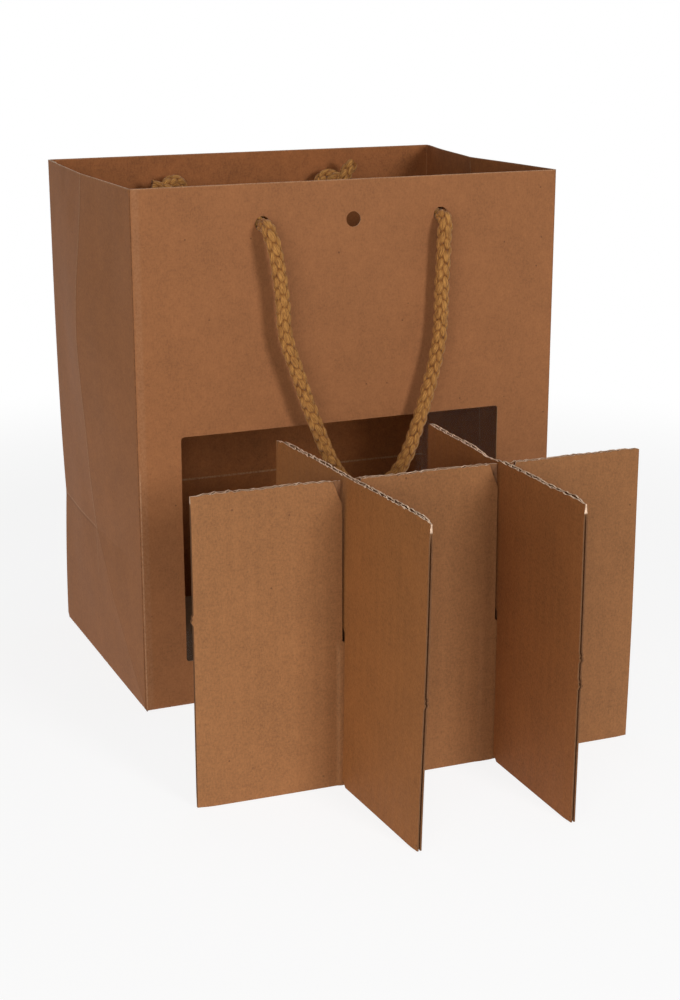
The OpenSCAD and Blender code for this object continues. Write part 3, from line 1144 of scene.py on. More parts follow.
@dataclass
class CarrierBag:
    """The folded bag with its window, holes, glued lap and base flaps.

    Args:
        form: the wall's folded shape.
        window_w: the window's width.
        window_h: the window's height.
        window_z: the height of the window's lower edge.
        window_shift: how far the window is set to the left.
        window_r: the radius of the window's corners.
        film_lap: how far the film reaches past the window.
        film_t: the film's thickness.
        handle_span: the distance between a handle's holes.
        hole_z: the height of the holes' centres.
        hole_d: the holes' diameter.
        mesh_step: the distance between the mesh's points.
        fold_offsets: where the mesh has more columns beside a fold.
    """

    form: BagForm = field(default_factory=BagForm)
    window_w: float = 161.0
    window_h: float = 108.0
    window_z: float = 22.0
    window_shift: float = 4.0
    window_r: float = 1.5
    film_lap: float = 8.0
    film_t: float = 0.12
    handle_span: float = 88.0
    hole_z: float = 224.0
    hole_d: float = 7.0
    mesh_step: float = 3.0
    fold_offsets: tuple[float, ...] = (-1.4, -1.0, -0.7, -0.35, 0.35, 0.7, 1.0, 1.4)

    def window_loop(self, grow: float = 0.0) -> Line:
        """Gives the window's loop on the flat sheet.

        Args:
            grow: how far the loop lies outside the window's edge.

        Returns:
            The loop's points.
        """
        centre = (self.form.front_place(-self.window_shift), self.window_z + self.window_h / 2)
        width, height = self.window_w + 2 * grow, self.window_h + 2 * grow
        return rounded_rectangle(centre, width, height, self.window_r)

    def columns(self) -> np.ndarray:
        """Places the mesh's columns round the wall.

        Returns:
            Their flat places, close together at the folds.
        """
        form = self.form
        half = form.depth / 2
        folds = [0.0, form.width, form.width + half, form.front_u, form.left_u, form.left_u + half]
        stops = [-form.lap, *folds, form.end_u]
        values = [steps(a, b, self.mesh_step) for a, b in zip(stops[:-1], stops[1:])]
        close = [fold + off for fold in folds for off in self.fold_offsets]
        return np.unique(np.round(np.concatenate([*values, close]), 4))

    def rows(self) -> np.ndarray:
        """Places the mesh's rows up the wall.

        Returns:
            Their heights, close together at the foot and at the base crease.
        """
        form = self.form
        crease = [form.crease_z + off for off in (-1.4, -0.6, 0.6, 1.4)]
        values = [
            steps(form.fold_r, form.crease_z, self.mesh_step),
            steps(form.crease_z, form.height, self.mesh_step),
        ]
        return np.unique(np.round(np.concatenate([[0.0, 0.2, 0.5, 0.9], *values, crease]), 4))

    def wall(self) -> Body:
        """Cuts and folds the wall from one sheet.

        Returns:
            The wall, with its window and holes cut out.
        """
        form = self.form
        end = form.end_u - 0.9
        outer = as_line([(-form.lap, 0), (end, 0), (end, form.height), (-form.lap, form.height)])
        holes = [self.window_loop()]
        half_span = self.handle_span / 2
        places = [form.front_place(x) for x in (-half_span, 0.0, half_span)]
        places += [form.back_place(x) for x in (-half_span, half_span)]
        for place in places:
            holes.append(arc((place, self.hole_z), self.hole_d / 2, 0, 360, 33)[:-1])
        foot, top = 2 * form.fold_r, form.crease_z
        creases = []
        for off in (-0.9, -0.45, 0.0, 0.45, 0.9):
            for fold, side in ((form.front_u + off, -1), (form.left_u + off, 1)):
                creases.append(as_line([(fold + side * foot, foot), (fold + side * top, top)]))
        plan = CutPlan(outer, self.columns(), self.rows(), holes, creases, self.mesh_step)
        return sheet_body(plan.mesh(), form.outside, -form.paper)

    def base(self) -> Body:
        """Cuts the base's plies.

        Returns:
            The front flap, the back flap above it, and the side flaps on top.
        """
        form = self.form
        w, d, inset = form.width / 2, form.depth / 2, form.fold_r - 0.2
        apex, lap = form.width / 2 - form.depth / 2, form.flap_lap
        x, y = w - inset, d - inset
        front = [(-x, -y), (x, -y), (apex, 0), (apex - lap, lap), (lap - apex, lap), (-apex, 0)]
        back = [(-x, -y) for x, y in front]
        right = [(x, -y), (x, y), (apex, 0)]
        left = [(-x, -y) for x, y in right]
        plies = []
        for ply, loop in zip((0, 1, 2, 2), (front, back, right, left)):
            flipped = as_line([(-x, y) for x, y in reversed(loop)])
            columns, rows = (steps(values.min(), values.max(), 8.0) for values in flipped.T)
            plan = CutPlan(flipped, columns, rows, edge_step=8.0)
            surface = self.level_surface(ply * form.paper)
            plies.append(sheet_body(plan.mesh(), surface, form.paper - 0.02))
        return Body.joined(plies)

    @staticmethod
    def level_surface(level: float) -> Surface:
        """Gives a surface that faces down at a level, for one ply of the base."""
        return lambda flat: np.column_stack([-flat[:, 0], flat[:, 1], np.full(len(flat), level)])

    def film(self) -> Body:
        """Cuts the film and lays it behind the window.

        Returns:
            The film, slack where it isn't glued down.
        """
        form = self.form
        loop = self.window_loop(self.film_lap)
        low, high = loop.min(axis=0), loop.max(axis=0)
        columns, rows = (steps(*ends, 4.0) for ends in zip(low, high))
        plan = CutPlan(loop, columns, rows, edge_step=4.0)
        depth = form.paper + 0.04

        def surface(flat: np.ndarray) -> np.ndarray:
            """Lays the film against the wall, and a little behind it in the window.

            Args:
                flat: places on the flat sheet.

            Returns:
                The points in space.
            """
            points = form.inside(flat, depth)
            outside = signed_inset(flat, low + self.film_lap, high - self.film_lap)
            free = np.clip(-outside / 20.0, 0.0, 1.0)
            points[:, 1] += 0.5 * free * (1 + wander(flat, 90.0, 11))
            return points

        return sheet_body(plan.mesh(), surface, -self.film_t)

    def marks(self) -> tuple[FoldMark, ...]:
        """Lists the creases and folds that show as pale or dark lines.

        Returns:
            The lines: pale ones, partly rubbed wear and partly painted highlight, and dark ones of
                painted shade beside some of them.
        """
        form = self.form
        half = form.depth / 2
        rim, low = form.height, form.crease_z
        # Marks with dark=True are painted shade beside the folds; the pale ones are partly wear and
        # partly painted highlight.
        return (
            FoldMark(0, 0.0, 0.7, 0.2),
            FoldMark(0, form.width, 0.7, 0.2),
            FoldMark(0, form.front_u, 0.6, 0.2),
            FoldMark(0, form.front_u - 0.9, 0.35, 0.4, dark=True),
            FoldMark(0, form.left_u - 2.4, 2.4, 0.10),
            FoldMark(0, form.left_u - 0.7, 0.5, 0.45, 0.0, 115.0),
            FoldMark(0, form.left_u + 0.35, 0.45, 0.75, dark=True),
            FoldMark(0, form.left_u + half, 1.0, 0.34, low, rim),
            FoldMark(0, form.left_u + half - 1.2, 0.8, 0.22, low, rim, dark=True),
            FoldMark(0, form.left_u + half, 0.8, 0.20, 45.0, low),
            FoldMark(2, form.left_u, 0.8, 0.16, 0.0, low),
            FoldMark(2, form.left_u - 1.4, 1.0, 0.16, 0.0, low, dark=True),
            FoldMark(0, form.width + half, 1.0, 0.25, low, rim),
            FoldMark(1, low, 0.7, 0.36, form.left_u + half, form.end_u),
            FoldMark(1, low - 1.2, 0.8, 0.25, form.left_u + half, form.end_u, dark=True),
            FoldMark(1, low - 1.0, 0.8, 0.5, -form.lap, form.width),
            FoldMark(1, rim, 0.7, 0.35),
        )

    def build(self, finishes: Finishes) -> None:
        """Makes the bag's pieces and dresses them.

        Args:
            finishes: the materials to use.
        """
        marks = self.marks()
        outer = KraftFinish("kraft_paper", (151, 97, 58), fibre=0.24, mottle=0.17, marks=marks)
        # The inner face is a shaded copy of the outer paper: a little darker and more saturated, painted
        # shade for the inside of the bag.
        inner = KraftFinish("kraft_paper_inside_shaded", (150, 90, 48), fibre=0.3, mottle=0.3, marks=marks)
        body = Body.joined([self.wall(), self.base()])
        materials = [outer.material(), inner.material(), finishes.paper_edge]
        shell = body.to_object("folded_kraft_bag", materials)
        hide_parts("bag_shell")
        film = self.film().to_object("clear_window_film", [finishes.film] * 3)
        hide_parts("window_film")
        LOG.info("bag: %d triangles", len(body.triangles))


def signed_inset(flat: np.ndarray, low: np.ndarray, high: np.ndarray) -> np.ndarray:
    """Measures how far points lie outside a rectangle.

    Args:
        flat: the points.
        low: the rectangle's lower corner.
        high: its upper corner.

    Returns:
        Each point's distance from the edge, negative inside.
    """
    return np.maximum(low - flat, flat - high).max(axis=1)


@dataclass
class RopeHandle:
    """One braided rope handle with an overhand knot inside the wall at each end.

    Args:
        wall: the wall that it hangs on.
        tails: the angle of each knot's tail above the level, first end first.
        rolls: how far each knot is rolled about its hole's axis.
        diameter: the rope's diameter.
        columns: how many columns of stitches go round it.
        column_shift: the shift from one column to the next, as a share of a stitch.
        stitch: the length of a stitch.
        stitch_width: the width of a stitch.
        stitch_rings: how many rings of points a stitch has along it.
        stitch_sides: how many points each of those rings has.
        overlap: how far a stitch reaches past its own length, as a factor.
        slant: how far a stitch's end leans sideways, in radians round the rope.
        plump: half the thickness of a stitch.
        core_depth: how deep the core lies under the stitches' tops, in plumps.
        ring_step: the distance between the centreline's points.
        fullness: how much thicker the braid is than the plain rope, as a factor.
        hole_squeeze: the share of the thickness that is lost in a hole.
        tail_lengths: how far the two tails stand out of their knots.
    """

    wall: Wall
    tails: tuple[float, float]
    rolls: tuple[float, float]
    diameter: float = 6.5
    columns: int = 6
    column_shift: float = 0.5
    stitch: float = 5.7
    stitch_width: float = 3.5
    stitch_rings: int = 9
    stitch_sides: int = 8
    overlap: float = 1.24
    slant: float = 0.20
    plump: float = 0.95
    core_depth: float = 1.30
    ring_step: float = 0.7
    fullness: float = 1.10
    hole_squeeze: float = 0.16
    tail_lengths: tuple[float, float] = (9.0, 9.0)

    ROUTE = (
        (-44, -69.5, 224), (-44, -73.5, 224), (-44.2, -77.5, 222.8), (-44, -80.5, 219.5),
        (-42.9, -82.2, 214.5), (-41.8, -82.5, 208.5), (-40.4, -82.5, 199), (-39.3, -82.5, 189),
        (-38.6, -82.5, 178), (-36.8, -82.5, 170), (-33.5, -82.5, 160.5), (-29.8, -82.3, 149.5),
        (-25.8, -82, 138.8), (-21.6, -81.8, 128.2), (-16.6, -81.5, 116.6), (-10.8, -81.3, 107),
        (-4.5, -81.2, 101), (2.5, -81, 98.6), (10, -80.8, 99.5), (16.5, -80.6, 103.5),
        (22, -80.5, 110.8), (26, -80.3, 119.5), (29.4, -80, 128.5), (32.6, -79.8, 138),
        (35.6, -79.5, 148), (38.3, -79.2, 158.5), (40.2, -79, 169), (40.9, -78.8, 180),
        (41.2, -78.6, 191), (41.6, -78.5, 201), (42, -78.5, 210), (42.4, -78.3, 216),
        (43.4, -76.8, 221), (44, -74.5, 223.6), (44, -72.5, 224), (44, -69.5, 224),
    )
    KNOT = (
        (0.14, 0.12, 0.55), (0.43, -0.37, -0.11), (-0.08, -0.74, -0.61), (-0.82, -0.37, -0.81),
        (-0.96, 0.39, -0.61), (-0.37, 0.84, -0.17), (0.37, 0.84, 0.17), (0.96, 0.39, 0.61),
        (0.82, -0.37, 0.81), (0.08, -0.74, 0.61), (-0.43, -0.37, 0.11), (-0.14, 0.12, -0.55),
    )
    KNOT_SCALE = (0.94, 0.94, 0.84)
    KNOT_CENTRE = 11.0

    def route(self) -> Line:
        """Gives the rope's route from hole to hole.

        Returns:
            The route's points, left end first as its own wall is seen from outside.
        """
        points = as_line(self.ROUTE)
        if self.wall is Wall.BACK:
            points[:, :2] *= -1
        return points

    def knot(self, hole: np.ndarray, tail: float, roll: float, tail_length: float) -> Line:
        """Gives a knot's centreline, from the hole inward to the end of its tail.

        Args:
            hole: where the rope leaves the wall's inner face.
            tail: the tail's angle above the level, in degrees.
            roll: how far the knot is rolled about the hole's axis, in degrees.
            tail_length: how far the tail stands out of the knot.

        Returns:
            The centreline's points.
        """
        shape = as_line(self.KNOT) * self.KNOT_SCALE * self.diameter
        turn = math.radians(roll)
        x = shape[:, 0] * math.cos(turn) - shape[:, 1] * math.sin(turn)
        z = shape[:, 0] * math.sin(turn) + shape[:, 1] * math.cos(turn)
        inward = -self.wall.value
        depth = self.KNOT_CENTRE - shape[:, 2]
        core = np.column_stack([hole[0] + x, hole[1] + inward * depth, hole[2] + z])
        lift = math.radians(tail)
        heading = np.array([math.cos(lift), -inward * 0.12, math.sin(lift)])
        bend = core[-1] + [0.0, inward * 0.34 * self.diameter, 0.0] + 0.55 * self.diameter * heading
        end = bend + tail_length * heading
        return np.vstack([core, bend, (bend + end) / 2 + [0.0, 0.0, 0.3], end])

    def centreline(self) -> Line:
        """Gives the rope's whole centreline.

        Returns:
            Its points, evenly spaced from the end of one tail to the end of the other.
        """
        route = self.route()
        inside = route[0, 1] - self.wall.value * 1.2
        start, end = route[0].copy(), route[-1].copy()
        start[1] = end[1] = inside
        first = self.knot(start, self.tails[0], self.rolls[0], self.tail_lengths[0])
        last = self.knot(end, self.tails[1], self.rolls[1], self.tail_lengths[1])
        points = np.vstack([first[::-1], route, last])
        line = resampled(smooth_curve(points), self.ring_step)
        for hole in (route[0], route[-1]):
            line[:, 2] -= 0.7 * np.exp(-((np.linalg.norm(line - hole, axis=1) / 5.0) ** 2))
        return line

    @staticmethod
    def carried_frames(line: Line) -> tuple[np.ndarray, np.ndarray, np.ndarray]:
        """Carries two sideways directions along a line without twist.

        Args:
            line: the line's points.

        Returns:
            The heading and the two sideways unit vectors at each point.
        """
        heading = np.gradient(line, axis=0)
        heading /= np.linalg.norm(heading, axis=1, keepdims=True)
        side = np.cross(heading[0], [0.0, 0.0, 1.0])
        if np.linalg.norm(side) < 0.2:
            side = np.array([1.0, 0.0, 0.0])
        sides = []
        for ahead in heading:
            side = side - (side @ ahead) * ahead
            side /= np.linalg.norm(side)
            sides.append(side)
        first = np.array(sides)
        return heading, first, np.cross(heading, first)

    def in_space(
        self, line: Line, place: np.ndarray, angle: np.ndarray, radius: np.ndarray
    ) -> np.ndarray:
        """Puts places round the centreline in space.

        Args:
            line: the centreline.
            place: distances along the centreline.
            angle: directions round it, in radians.
            radius: distances from it.

        Returns:
            The points, with one more dimension than the places.
        """
        along = np.concatenate([[0.0], np.cumsum(np.linalg.norm(np.diff(line, axis=0), axis=1))])
        _, side, other = self.carried_frames(line)
        middle, first, second = (
            np.stack([np.interp(place, along, values[:, k]) for k in range(3)], axis=-1)
            for values in (line, side, other)
        )
        route = self.route()
        gaps = [np.linalg.norm(middle - hole, axis=-1) for hole in (route[0], route[-1])]
        slim = (1 - self.hole_squeeze * np.exp(-((np.minimum(*gaps) / 4.0) ** 2)))[..., None]
        out = np.cos(angle)[..., None] * first + np.sin(angle)[..., None] * second
        return middle + slim * radius[..., None] * out

    def stitches(self, line: Line, length: float) -> Body:
        """Lays the plump stitches of a solid braid round the centreline.

        Args:
            line: the centreline.
            length: the centreline's length.

        Returns:
            Closed, leaf-shaped stitches in columns round the rope.
        """
        rows = round(length / self.stitch)
        pitch = length / rows
        column = np.repeat(np.arange(self.columns), rows)
        row = np.tile(np.arange(rows), self.columns)
        random = np.random.default_rng(300 + self.wall.value)
        loose = random.normal(size=(4, len(column)))
        half = self.diameter / 2 * self.fullness
        t = np.linspace(-1.0, 1.0, self.stitch_rings)
        leaf = np.clip(1 - np.abs(t) ** 1.9, 0.0, 1.0) ** 0.75 + 0.05
        turns = np.linspace(0, 2 * math.pi, self.stitch_sides, endpoint=False)
        centre = (row + (column * self.column_shift) % 1 + 0.5 + 0.04 * loose[0]) * pitch
        place = centre[:, None] + 0.5 * self.overlap * pitch * (1 + 0.05 * loose[1])[:, None] * t
        place = np.clip(place, 0.0, length)
        thick = self.plump * (0.35 + 0.65 * leaf)
        wide = 0.5 * self.stitch_width * leaf * (1 + 0.06 * loose[2])[:, None]
        level = half - self.plump - 0.75 * np.abs(t) ** 2.4 + 0.05 * loose[3][:, None]
        lean = np.where(column % 2, -self.slant, self.slant)[:, None]
        heading = 2 * math.pi * column[:, None] / self.columns + lean * t
        angle = heading[:, :, None] + (wide / level)[:, :, None] * np.cos(turns)
        radius = level[:, :, None] + thick[None, :, None] * np.sin(turns)
        places = np.broadcast_to(place[:, :, None], angle.shape)
        points = self.in_space(line, places, angle, radius)
        # How deep each point lies in the braid, which the material turns into painted shade between the
        # strands.
        depth = np.clip((radius / half - 0.55) / 0.45, 0.0, 1.0)
        yarn = np.broadcast_to(1.3 * turns, angle.shape) + 9.0 * np.arange(len(column))[:, None, None]
        flat = np.stack([yarn, places, depth], axis=-1)
        triangles = self.tube_faces(self.stitch_rings, self.stitch_sides)
        each = self.stitch_rings * self.stitch_sides
        starts = each * np.arange(len(column))
        faces = (triangles[None, :, :] + starts[:, None, None]).reshape(-1, 3)
        return Body(points.reshape(-1, 3), flat.reshape(-1, 3), faces, np.zeros(len(faces), int))

    def core(self, line: Line, length: float) -> Body:
        """Makes the core under the stitches, painted dark with the full shade between the strands.

        Args:
            line: the centreline.
            length: the centreline's length.

        Returns:
            A plain closed tube.
        """
        sides = 10
        place = np.linspace(0.4, length - 0.4, round(length / 1.2))
        turns = np.linspace(0, 2 * math.pi, sides, endpoint=False)
        half = self.diameter / 2 * self.fullness
        shape = (len(place), sides)
        radius = np.full(shape, half - self.core_depth * self.plump)
        places, angles = np.broadcast_to(place[:, None], shape), np.broadcast_to(turns, shape)
        points = self.in_space(line, places, angles, radius)
        # A depth of 0 gives the core the full painted shade.
        flat = np.stack([angles, places, np.zeros(shape)], axis=-1)
        faces = self.tube_faces(len(place), sides)
        return Body(points.reshape(-1, 3), flat.reshape(-1, 3), faces, np.zeros(len(faces), int))

    @staticmethod
    def tube_faces(rings: int, sides: int) -> np.ndarray:
        """Gives the triangles of a closed tube whose points come ring by ring.

        Args:
            rings: how many rings it has.
            sides: how many points each ring has.

        Returns:
            Three point numbers for each triangle, the two ends' fans last.
        """
        ring, step = np.meshgrid(np.arange(rings - 1), np.arange(sides), indexing="ij")
        a = (ring * sides + step).ravel()
        b = (ring * sides + (step + 1) % sides).ravel()
        fan = np.arange(1, sides - 1)
        last = (rings - 1) * sides
        return np.vstack(
            [
                np.stack([a, b, b + sides], axis=1),
                np.stack([a, b + sides, a + sides], axis=1),
                np.stack([np.zeros_like(fan), fan + 1, fan], axis=1),
                np.stack([np.full_like(fan, last), last + fan, last + fan + 1], axis=1),
            ]
        )

    def build(self, finishes: Finishes) -> None:
        """Args:
            finishes: the materials to use.
        """
        line = self.centreline()
        run = float(np.linalg.norm(np.diff(line, axis=0), axis=1).sum())
        body = Body.joined([self.stitches(line, run), self.core(line, run)])
        label = self.wall.name.lower()
        rope = body.to_object(f"{label}_braided_handle", [finishes.rope])
        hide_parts(f"{label}_handle_rope", f"{label}_left_knot", f"{label}_right_knot")
        tuple(self.route()[0] * METRES_PER_MM)


@dataclass(frozen=True)
class Dent:
    """A place where the board is crushed or bent.

    Args:
        along: the place along the panel.
        up: the place above the panel's foot.
        reach: how far it spreads along the panel and up it.
        squeeze: the share of the board's thickness that is lost there.
        push: how far the board is pushed sideways there.
        sink: how far its edge is pressed down there.
    """

    along: float
    up: float
    reach: tuple[float, float]
    squeeze: float = 0.0
    push: float = 0.0
    sink: float = 0.0

    def share(self, s: np.ndarray, z: np.ndarray) -> np.ndarray:
        """Gives how strongly the dent acts at each place."""
        return np.exp(-((s - self.along) / self.reach[0]) ** 2 - ((z - self.up) / self.reach[1]) ** 2)


@dataclass(frozen=True)
class PressedRidge:
    """An upright ridge pressed up in the front liner beside a crossing.

    Args:
        along: the ridge's middle along the panel.
        half_width: half its width.
        top: where it ends above the foot.
        height: how far it stands proud.
    """

    along: float
    half_width: float
    top: float
    height: float


@dataclass
class CorrugatedPanel:
    """One slotted panel of single-wall board: two liners and the fluted medium.

    The panel's own coordinates are s along it, w across it and z up.

    Args:
        node: the CAD node that it stands for.
        name: the piece's name.
        length: the panel's length.
        height: the panel's height.
        slots: the middles of its slots along it.
        slots_down: whether the slots are cut from the top.
        lead_in: the width and height of the slots' lead-in.
        place: the crossing point's place on the floor, which is the panel's middle.
        turn: the panel's direction seen from above, in degrees.
        colour: the liners' average colour.
        lean: how far it leans sideways, in degrees.
        bow: how far its middle bows sideways.
        seed: picks its own wobble.
        dents: where it is crushed or bent.
        ridges: the ridges pressed up in its front liner.
        nicks: the end, -1 or 1, and the height of each torn nick.
        board_t: the board's thickness.
        liner_t: the liners' thickness.
        medium_t: the fluted medium's thickness.
        medium_recess: how far the medium stops short of the panel's ends.
        flute_pitch: the distance from one flute to the next.
        slot_w: the slots' width.
        slot_z: the height at which the two panels' slots meet.
        slot_gap: how far each slot stops short of that height.
        relief_d: the diameter of the round relief at a slot's end.
        end_pinch: the share of the thickness that is lost at the ends.
    """

    node: str
    name: str
    length: float
    height: float
    slots: tuple[float, ...]
    slots_down: bool
    lead_in: tuple[float, float]
    place: tuple[float, float]
    turn: float
    colour: Colour
    lean: float = 0.0
    bow: float = 0.0
    seed: int = 1
    dents: tuple[Dent, ...] = ()
    ridges: tuple[PressedRidge, ...] = ()
    nicks: tuple[tuple[int, float], ...] = ()
    board_t: float = 3.0
    liner_t: float = 0.62
    medium_t: float = 0.46
    medium_recess: float = 1.3
    flute_pitch: float = 6.1
    slot_w: float = 4.6
    slot_z: float = 67.0
    slot_gap: float = 0.4
    relief_d: float = 5.2
    end_pinch: float = 0.34

    NICK = ((-2.4, 0.0), (-1.5, 0.7), (-0.5, 0.35), (0.5, 1.0), (1.6, 0.5), (2.3, 0.0))
    RELIEF_POINTS = 14

    @property
    def flute_start(self) -> float:
        """Gives where the first flute's trough lies along the panel."""
        return -self.length / 2 + 0.15 * self.flute_pitch / 2

    def slot_side(self, middle: float) -> Line:
        """Gives one slot's outline.

        Args:
            middle: the slot's middle along the panel.

        Returns:
            The points from its left lip round its relief to its right lip.
        """
        half, (lead_w, lead_h) = self.slot_w / 2, self.lead_in
        mouth = self.height if self.slots_down else 0.0
        inward = -1 if self.slots_down else 1
        end = self.slot_z + (-self.slot_gap if self.slots_down else self.slot_gap)
        lip = [(middle - half - lead_w, mouth), (middle - half, mouth + inward * lead_h)]
        open_angle = math.degrees(math.asin(self.slot_w / self.relief_d))
        first, last = 270 - open_angle, 270 + open_angle
        if not self.slots_down:
            first, last = -first, -last
        relief = arc((middle, end), self.relief_d / 2, first, last, self.RELIEF_POINTS)
        mirrored = [(2 * middle - x, z) for x, z in reversed(lip)]
        return np.vstack([lip, relief, mirrored])

    def outline(self) -> Line:
        """Gives the panel's cut loop.

        Returns:
            Its points, counter-clockwise from the lower left corner.
        """
        half = self.length / 2
        lower, upper = [(-half, 0.0)], [(half, self.height)]
        if self.slots_down:
            for middle in sorted(self.slots, reverse=True):
                upper.extend(self.slot_side(middle)[::-1])
        else:
            for middle in sorted(self.slots):
                lower.extend(self.slot_side(middle))
        right = [(half, 0.0), *self.nick_points(1)]
        left = [(-half, self.height), *self.nick_points(-1)]
        return as_line([*lower, *right, *upper, *left])

    def nick_points(self, side: int) -> list[tuple[float, float]]:
        """Gives the torn nicks that stand out of one upright edge.

        Args:
            side: the end of the panel, -1 or 1.

        Returns:
            Their points, in the loop's order.
        """
        points = []
        for end, z in sorted(self.nicks, key=lambda nick: nick[1] * side):
            if end == side:
                edge = side * self.length / 2
                for off, out in self.NICK:
                    points.append((edge + side * out, z + side * off))
        return points

    def to_space(self, s: np.ndarray, w: np.ndarray, z: np.ndarray) -> np.ndarray:
        """Puts panel coordinates in space, with the panel's lean, warp and dents.

        Args:
            s: places along the panel.
            w: places across it.
            z: heights.

        Returns:
            The points in space.
        """
        middle = self.height / 2
        spot = np.column_stack([s, z])
        to_end = self.length / 2 - np.abs(s)
        squeeze = 1 - self.end_pinch * np.exp(-((to_end / 3.0) ** 2))
        to_top = self.height - z
        squeeze = squeeze - 0.16 * (1 + wander(spot, 17.0, self.seed + 60)) * np.exp(-to_top / 2.5)
        push = -math.tan(math.radians(self.lean)) * (z - middle)
        push = push + self.bow * (1 - (2 * s / self.length) ** 2) + 0.35 * wander(spot, 160.0, self.seed)
        frayed = 0.30 * wander(spot, 4.0, self.seed + 50) * np.exp(-((to_top / 1.5) ** 2))
        sink = 0.18 * wander(spot, 45.0, self.seed + 40) + frayed
        for dent in self.dents:
            share = dent.share(s, z)
            squeeze = squeeze * (1 - dent.squeeze * share)
            push = push + dent.push * share
            sink = sink - dent.sink * share
        across = w * squeeze + push
        lifted = z + sink * np.clip(z / 20.0, 0.0, 1.0)
        turn = math.radians(self.turn)
        x = self.place[0] + s * math.cos(turn) - across * math.sin(turn)
        y = self.place[1] + s * math.sin(turn) + across * math.cos(turn)
        return np.column_stack([x, y, lifted])

    def liner(self, side: int) -> Body:
        """Cuts one liner.

        Args:
            side: -1 for the face towards smaller w, 1 for the other.

        Returns:
            The liner, in its place on the board.
        """
        outline = self.outline()
        half = self.length / 2
        columns = [steps(-half + 0.8, half - 0.8, 3.0)]
        for ridge in self.ridges:
            columns.append(ridge.along + ridge.half_width * np.linspace(-1, 1, 9))
        rows = steps(0.8, self.height - 0.8, 3.4)
        if side > 0:
            outline = np.column_stack([-outline[::-1, 0], outline[::-1, 1]])
            columns = [-column for column in columns]
        places = np.unique(np.round(np.concatenate(columns), 3))
        plan = CutPlan(outline, places, rows, edge_step=1.5)

        def surface(flat: np.ndarray) -> np.ndarray:
            """Lays the liner on its side of the board.

            Args:
                flat: places on the flat sheet.

            Returns:
                The points in space.
            """
            s = -side * flat[:, 0]
            w = np.full(len(flat), side * self.board_t / 2)
            if side < 0:
                w = w - self.proud(s, flat[:, 1])
            return self.to_space(s, w, flat[:, 1])

        body = sheet_body(plan.mesh(), surface, self.liner_t, tag=float(side))
        body.flat[:, 0] *= -side
        return body

    def proud(self, s: np.ndarray, z: np.ndarray) -> np.ndarray:
        """Gives how far the front liner stands proud in its pressed ridges.

        Args:
            s: places along the panel.
            z: heights.

        Returns:
            One distance for each place.
        """
        total = np.zeros_like(s)
        for ridge in self.ridges:
            across = np.clip(1 - ((s - ridge.along) / ridge.half_width) ** 2, 0.0, 1.0)
            fade = np.clip((ridge.top - z) / 4.0, 0.0, 1.0)
            total += ridge.height * np.sqrt(across) * fade
        return total

    def medium(self) -> list[Body]:
        """Cuts the fluted medium into runs between the slots.

        Returns:
            One body for each run, those over or under a slot included.
        """
        swing = self.board_t / 2 - self.liner_t - self.medium_t / 2
        half = self.length / 2
        bodies = []
        slot_half = self.slot_w / 2
        lips = [cut + off for cut in sorted(self.slots) for off in (-slot_half, slot_half)]
        stops = [self.medium_recess - half, *lips, half - self.medium_recess]
        foot, top = 0.1, self.height - 0.15
        slot_reach = self.relief_d / 2 + 0.6
        beside_slot = (self.slot_z + slot_reach, top)
        if self.slots_down:
            beside_slot = (foot, self.slot_z - slot_reach)
        for k, (low, high) in enumerate(zip(stops[:-1], stops[1:])):
            span = beside_slot if k % 2 == 1 else (foot, top)
            columns = steps(low, high, self.flute_pitch / 12)
            rows = steps(*span, 9.0)
            flat = np.stack(np.meshgrid(columns, rows), axis=-1).reshape(-1, 2)
            n = len(columns)
            corner = (np.arange(len(rows) - 1)[:, None] * n + np.arange(n - 1)).ravel()
            triangles = np.vstack(
                [
                    np.stack([corner, corner + 1, corner + n + 1], axis=1),
                    np.stack([corner, corner + n + 1, corner + n], axis=1),
                ]
            )

            def surface(flat: np.ndarray) -> np.ndarray:
                """Swings the medium from liner to liner.

                Args:
                    flat: places on the flat sheet.

                Returns:
                    The points in space.
                """
                phase = 2 * math.pi * (flat[:, 0] - self.flute_start) / self.flute_pitch
                wave = -swing * np.cos(phase + 0.16 * np.sin(2 * phase))
                return self.to_space(flat[:, 0], wave, flat[:, 1])

            body = sheet_body((flat, triangles), surface, self.medium_t)
            body.layers = np.where(body.layers == Layer.EDGE, Layer.EDGE, Layer.INNER)
            bodies.append(body)
        return bodies

    def build(self, finishes: Finishes) -> None:
        """Makes the panel and dresses it.

        Args:
            finishes: the materials to use.
        """
        body = Body.joined([self.liner(-1), self.liner(1), *self.medium()])
        flutes = {"flute_pitch": self.flute_pitch, "flute_start": self.flute_start}
        outer = KraftFinish(f"{self.name}_liner", self.colour, mottle=0.16, fibre=0.32, **flutes)
        panel = body.to_object(self.name, [outer.material(), finishes.medium, finishes.board_edge])
        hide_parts(self.node)
        LOG.info("%s: %d triangles", self.name, len(body.triangles))


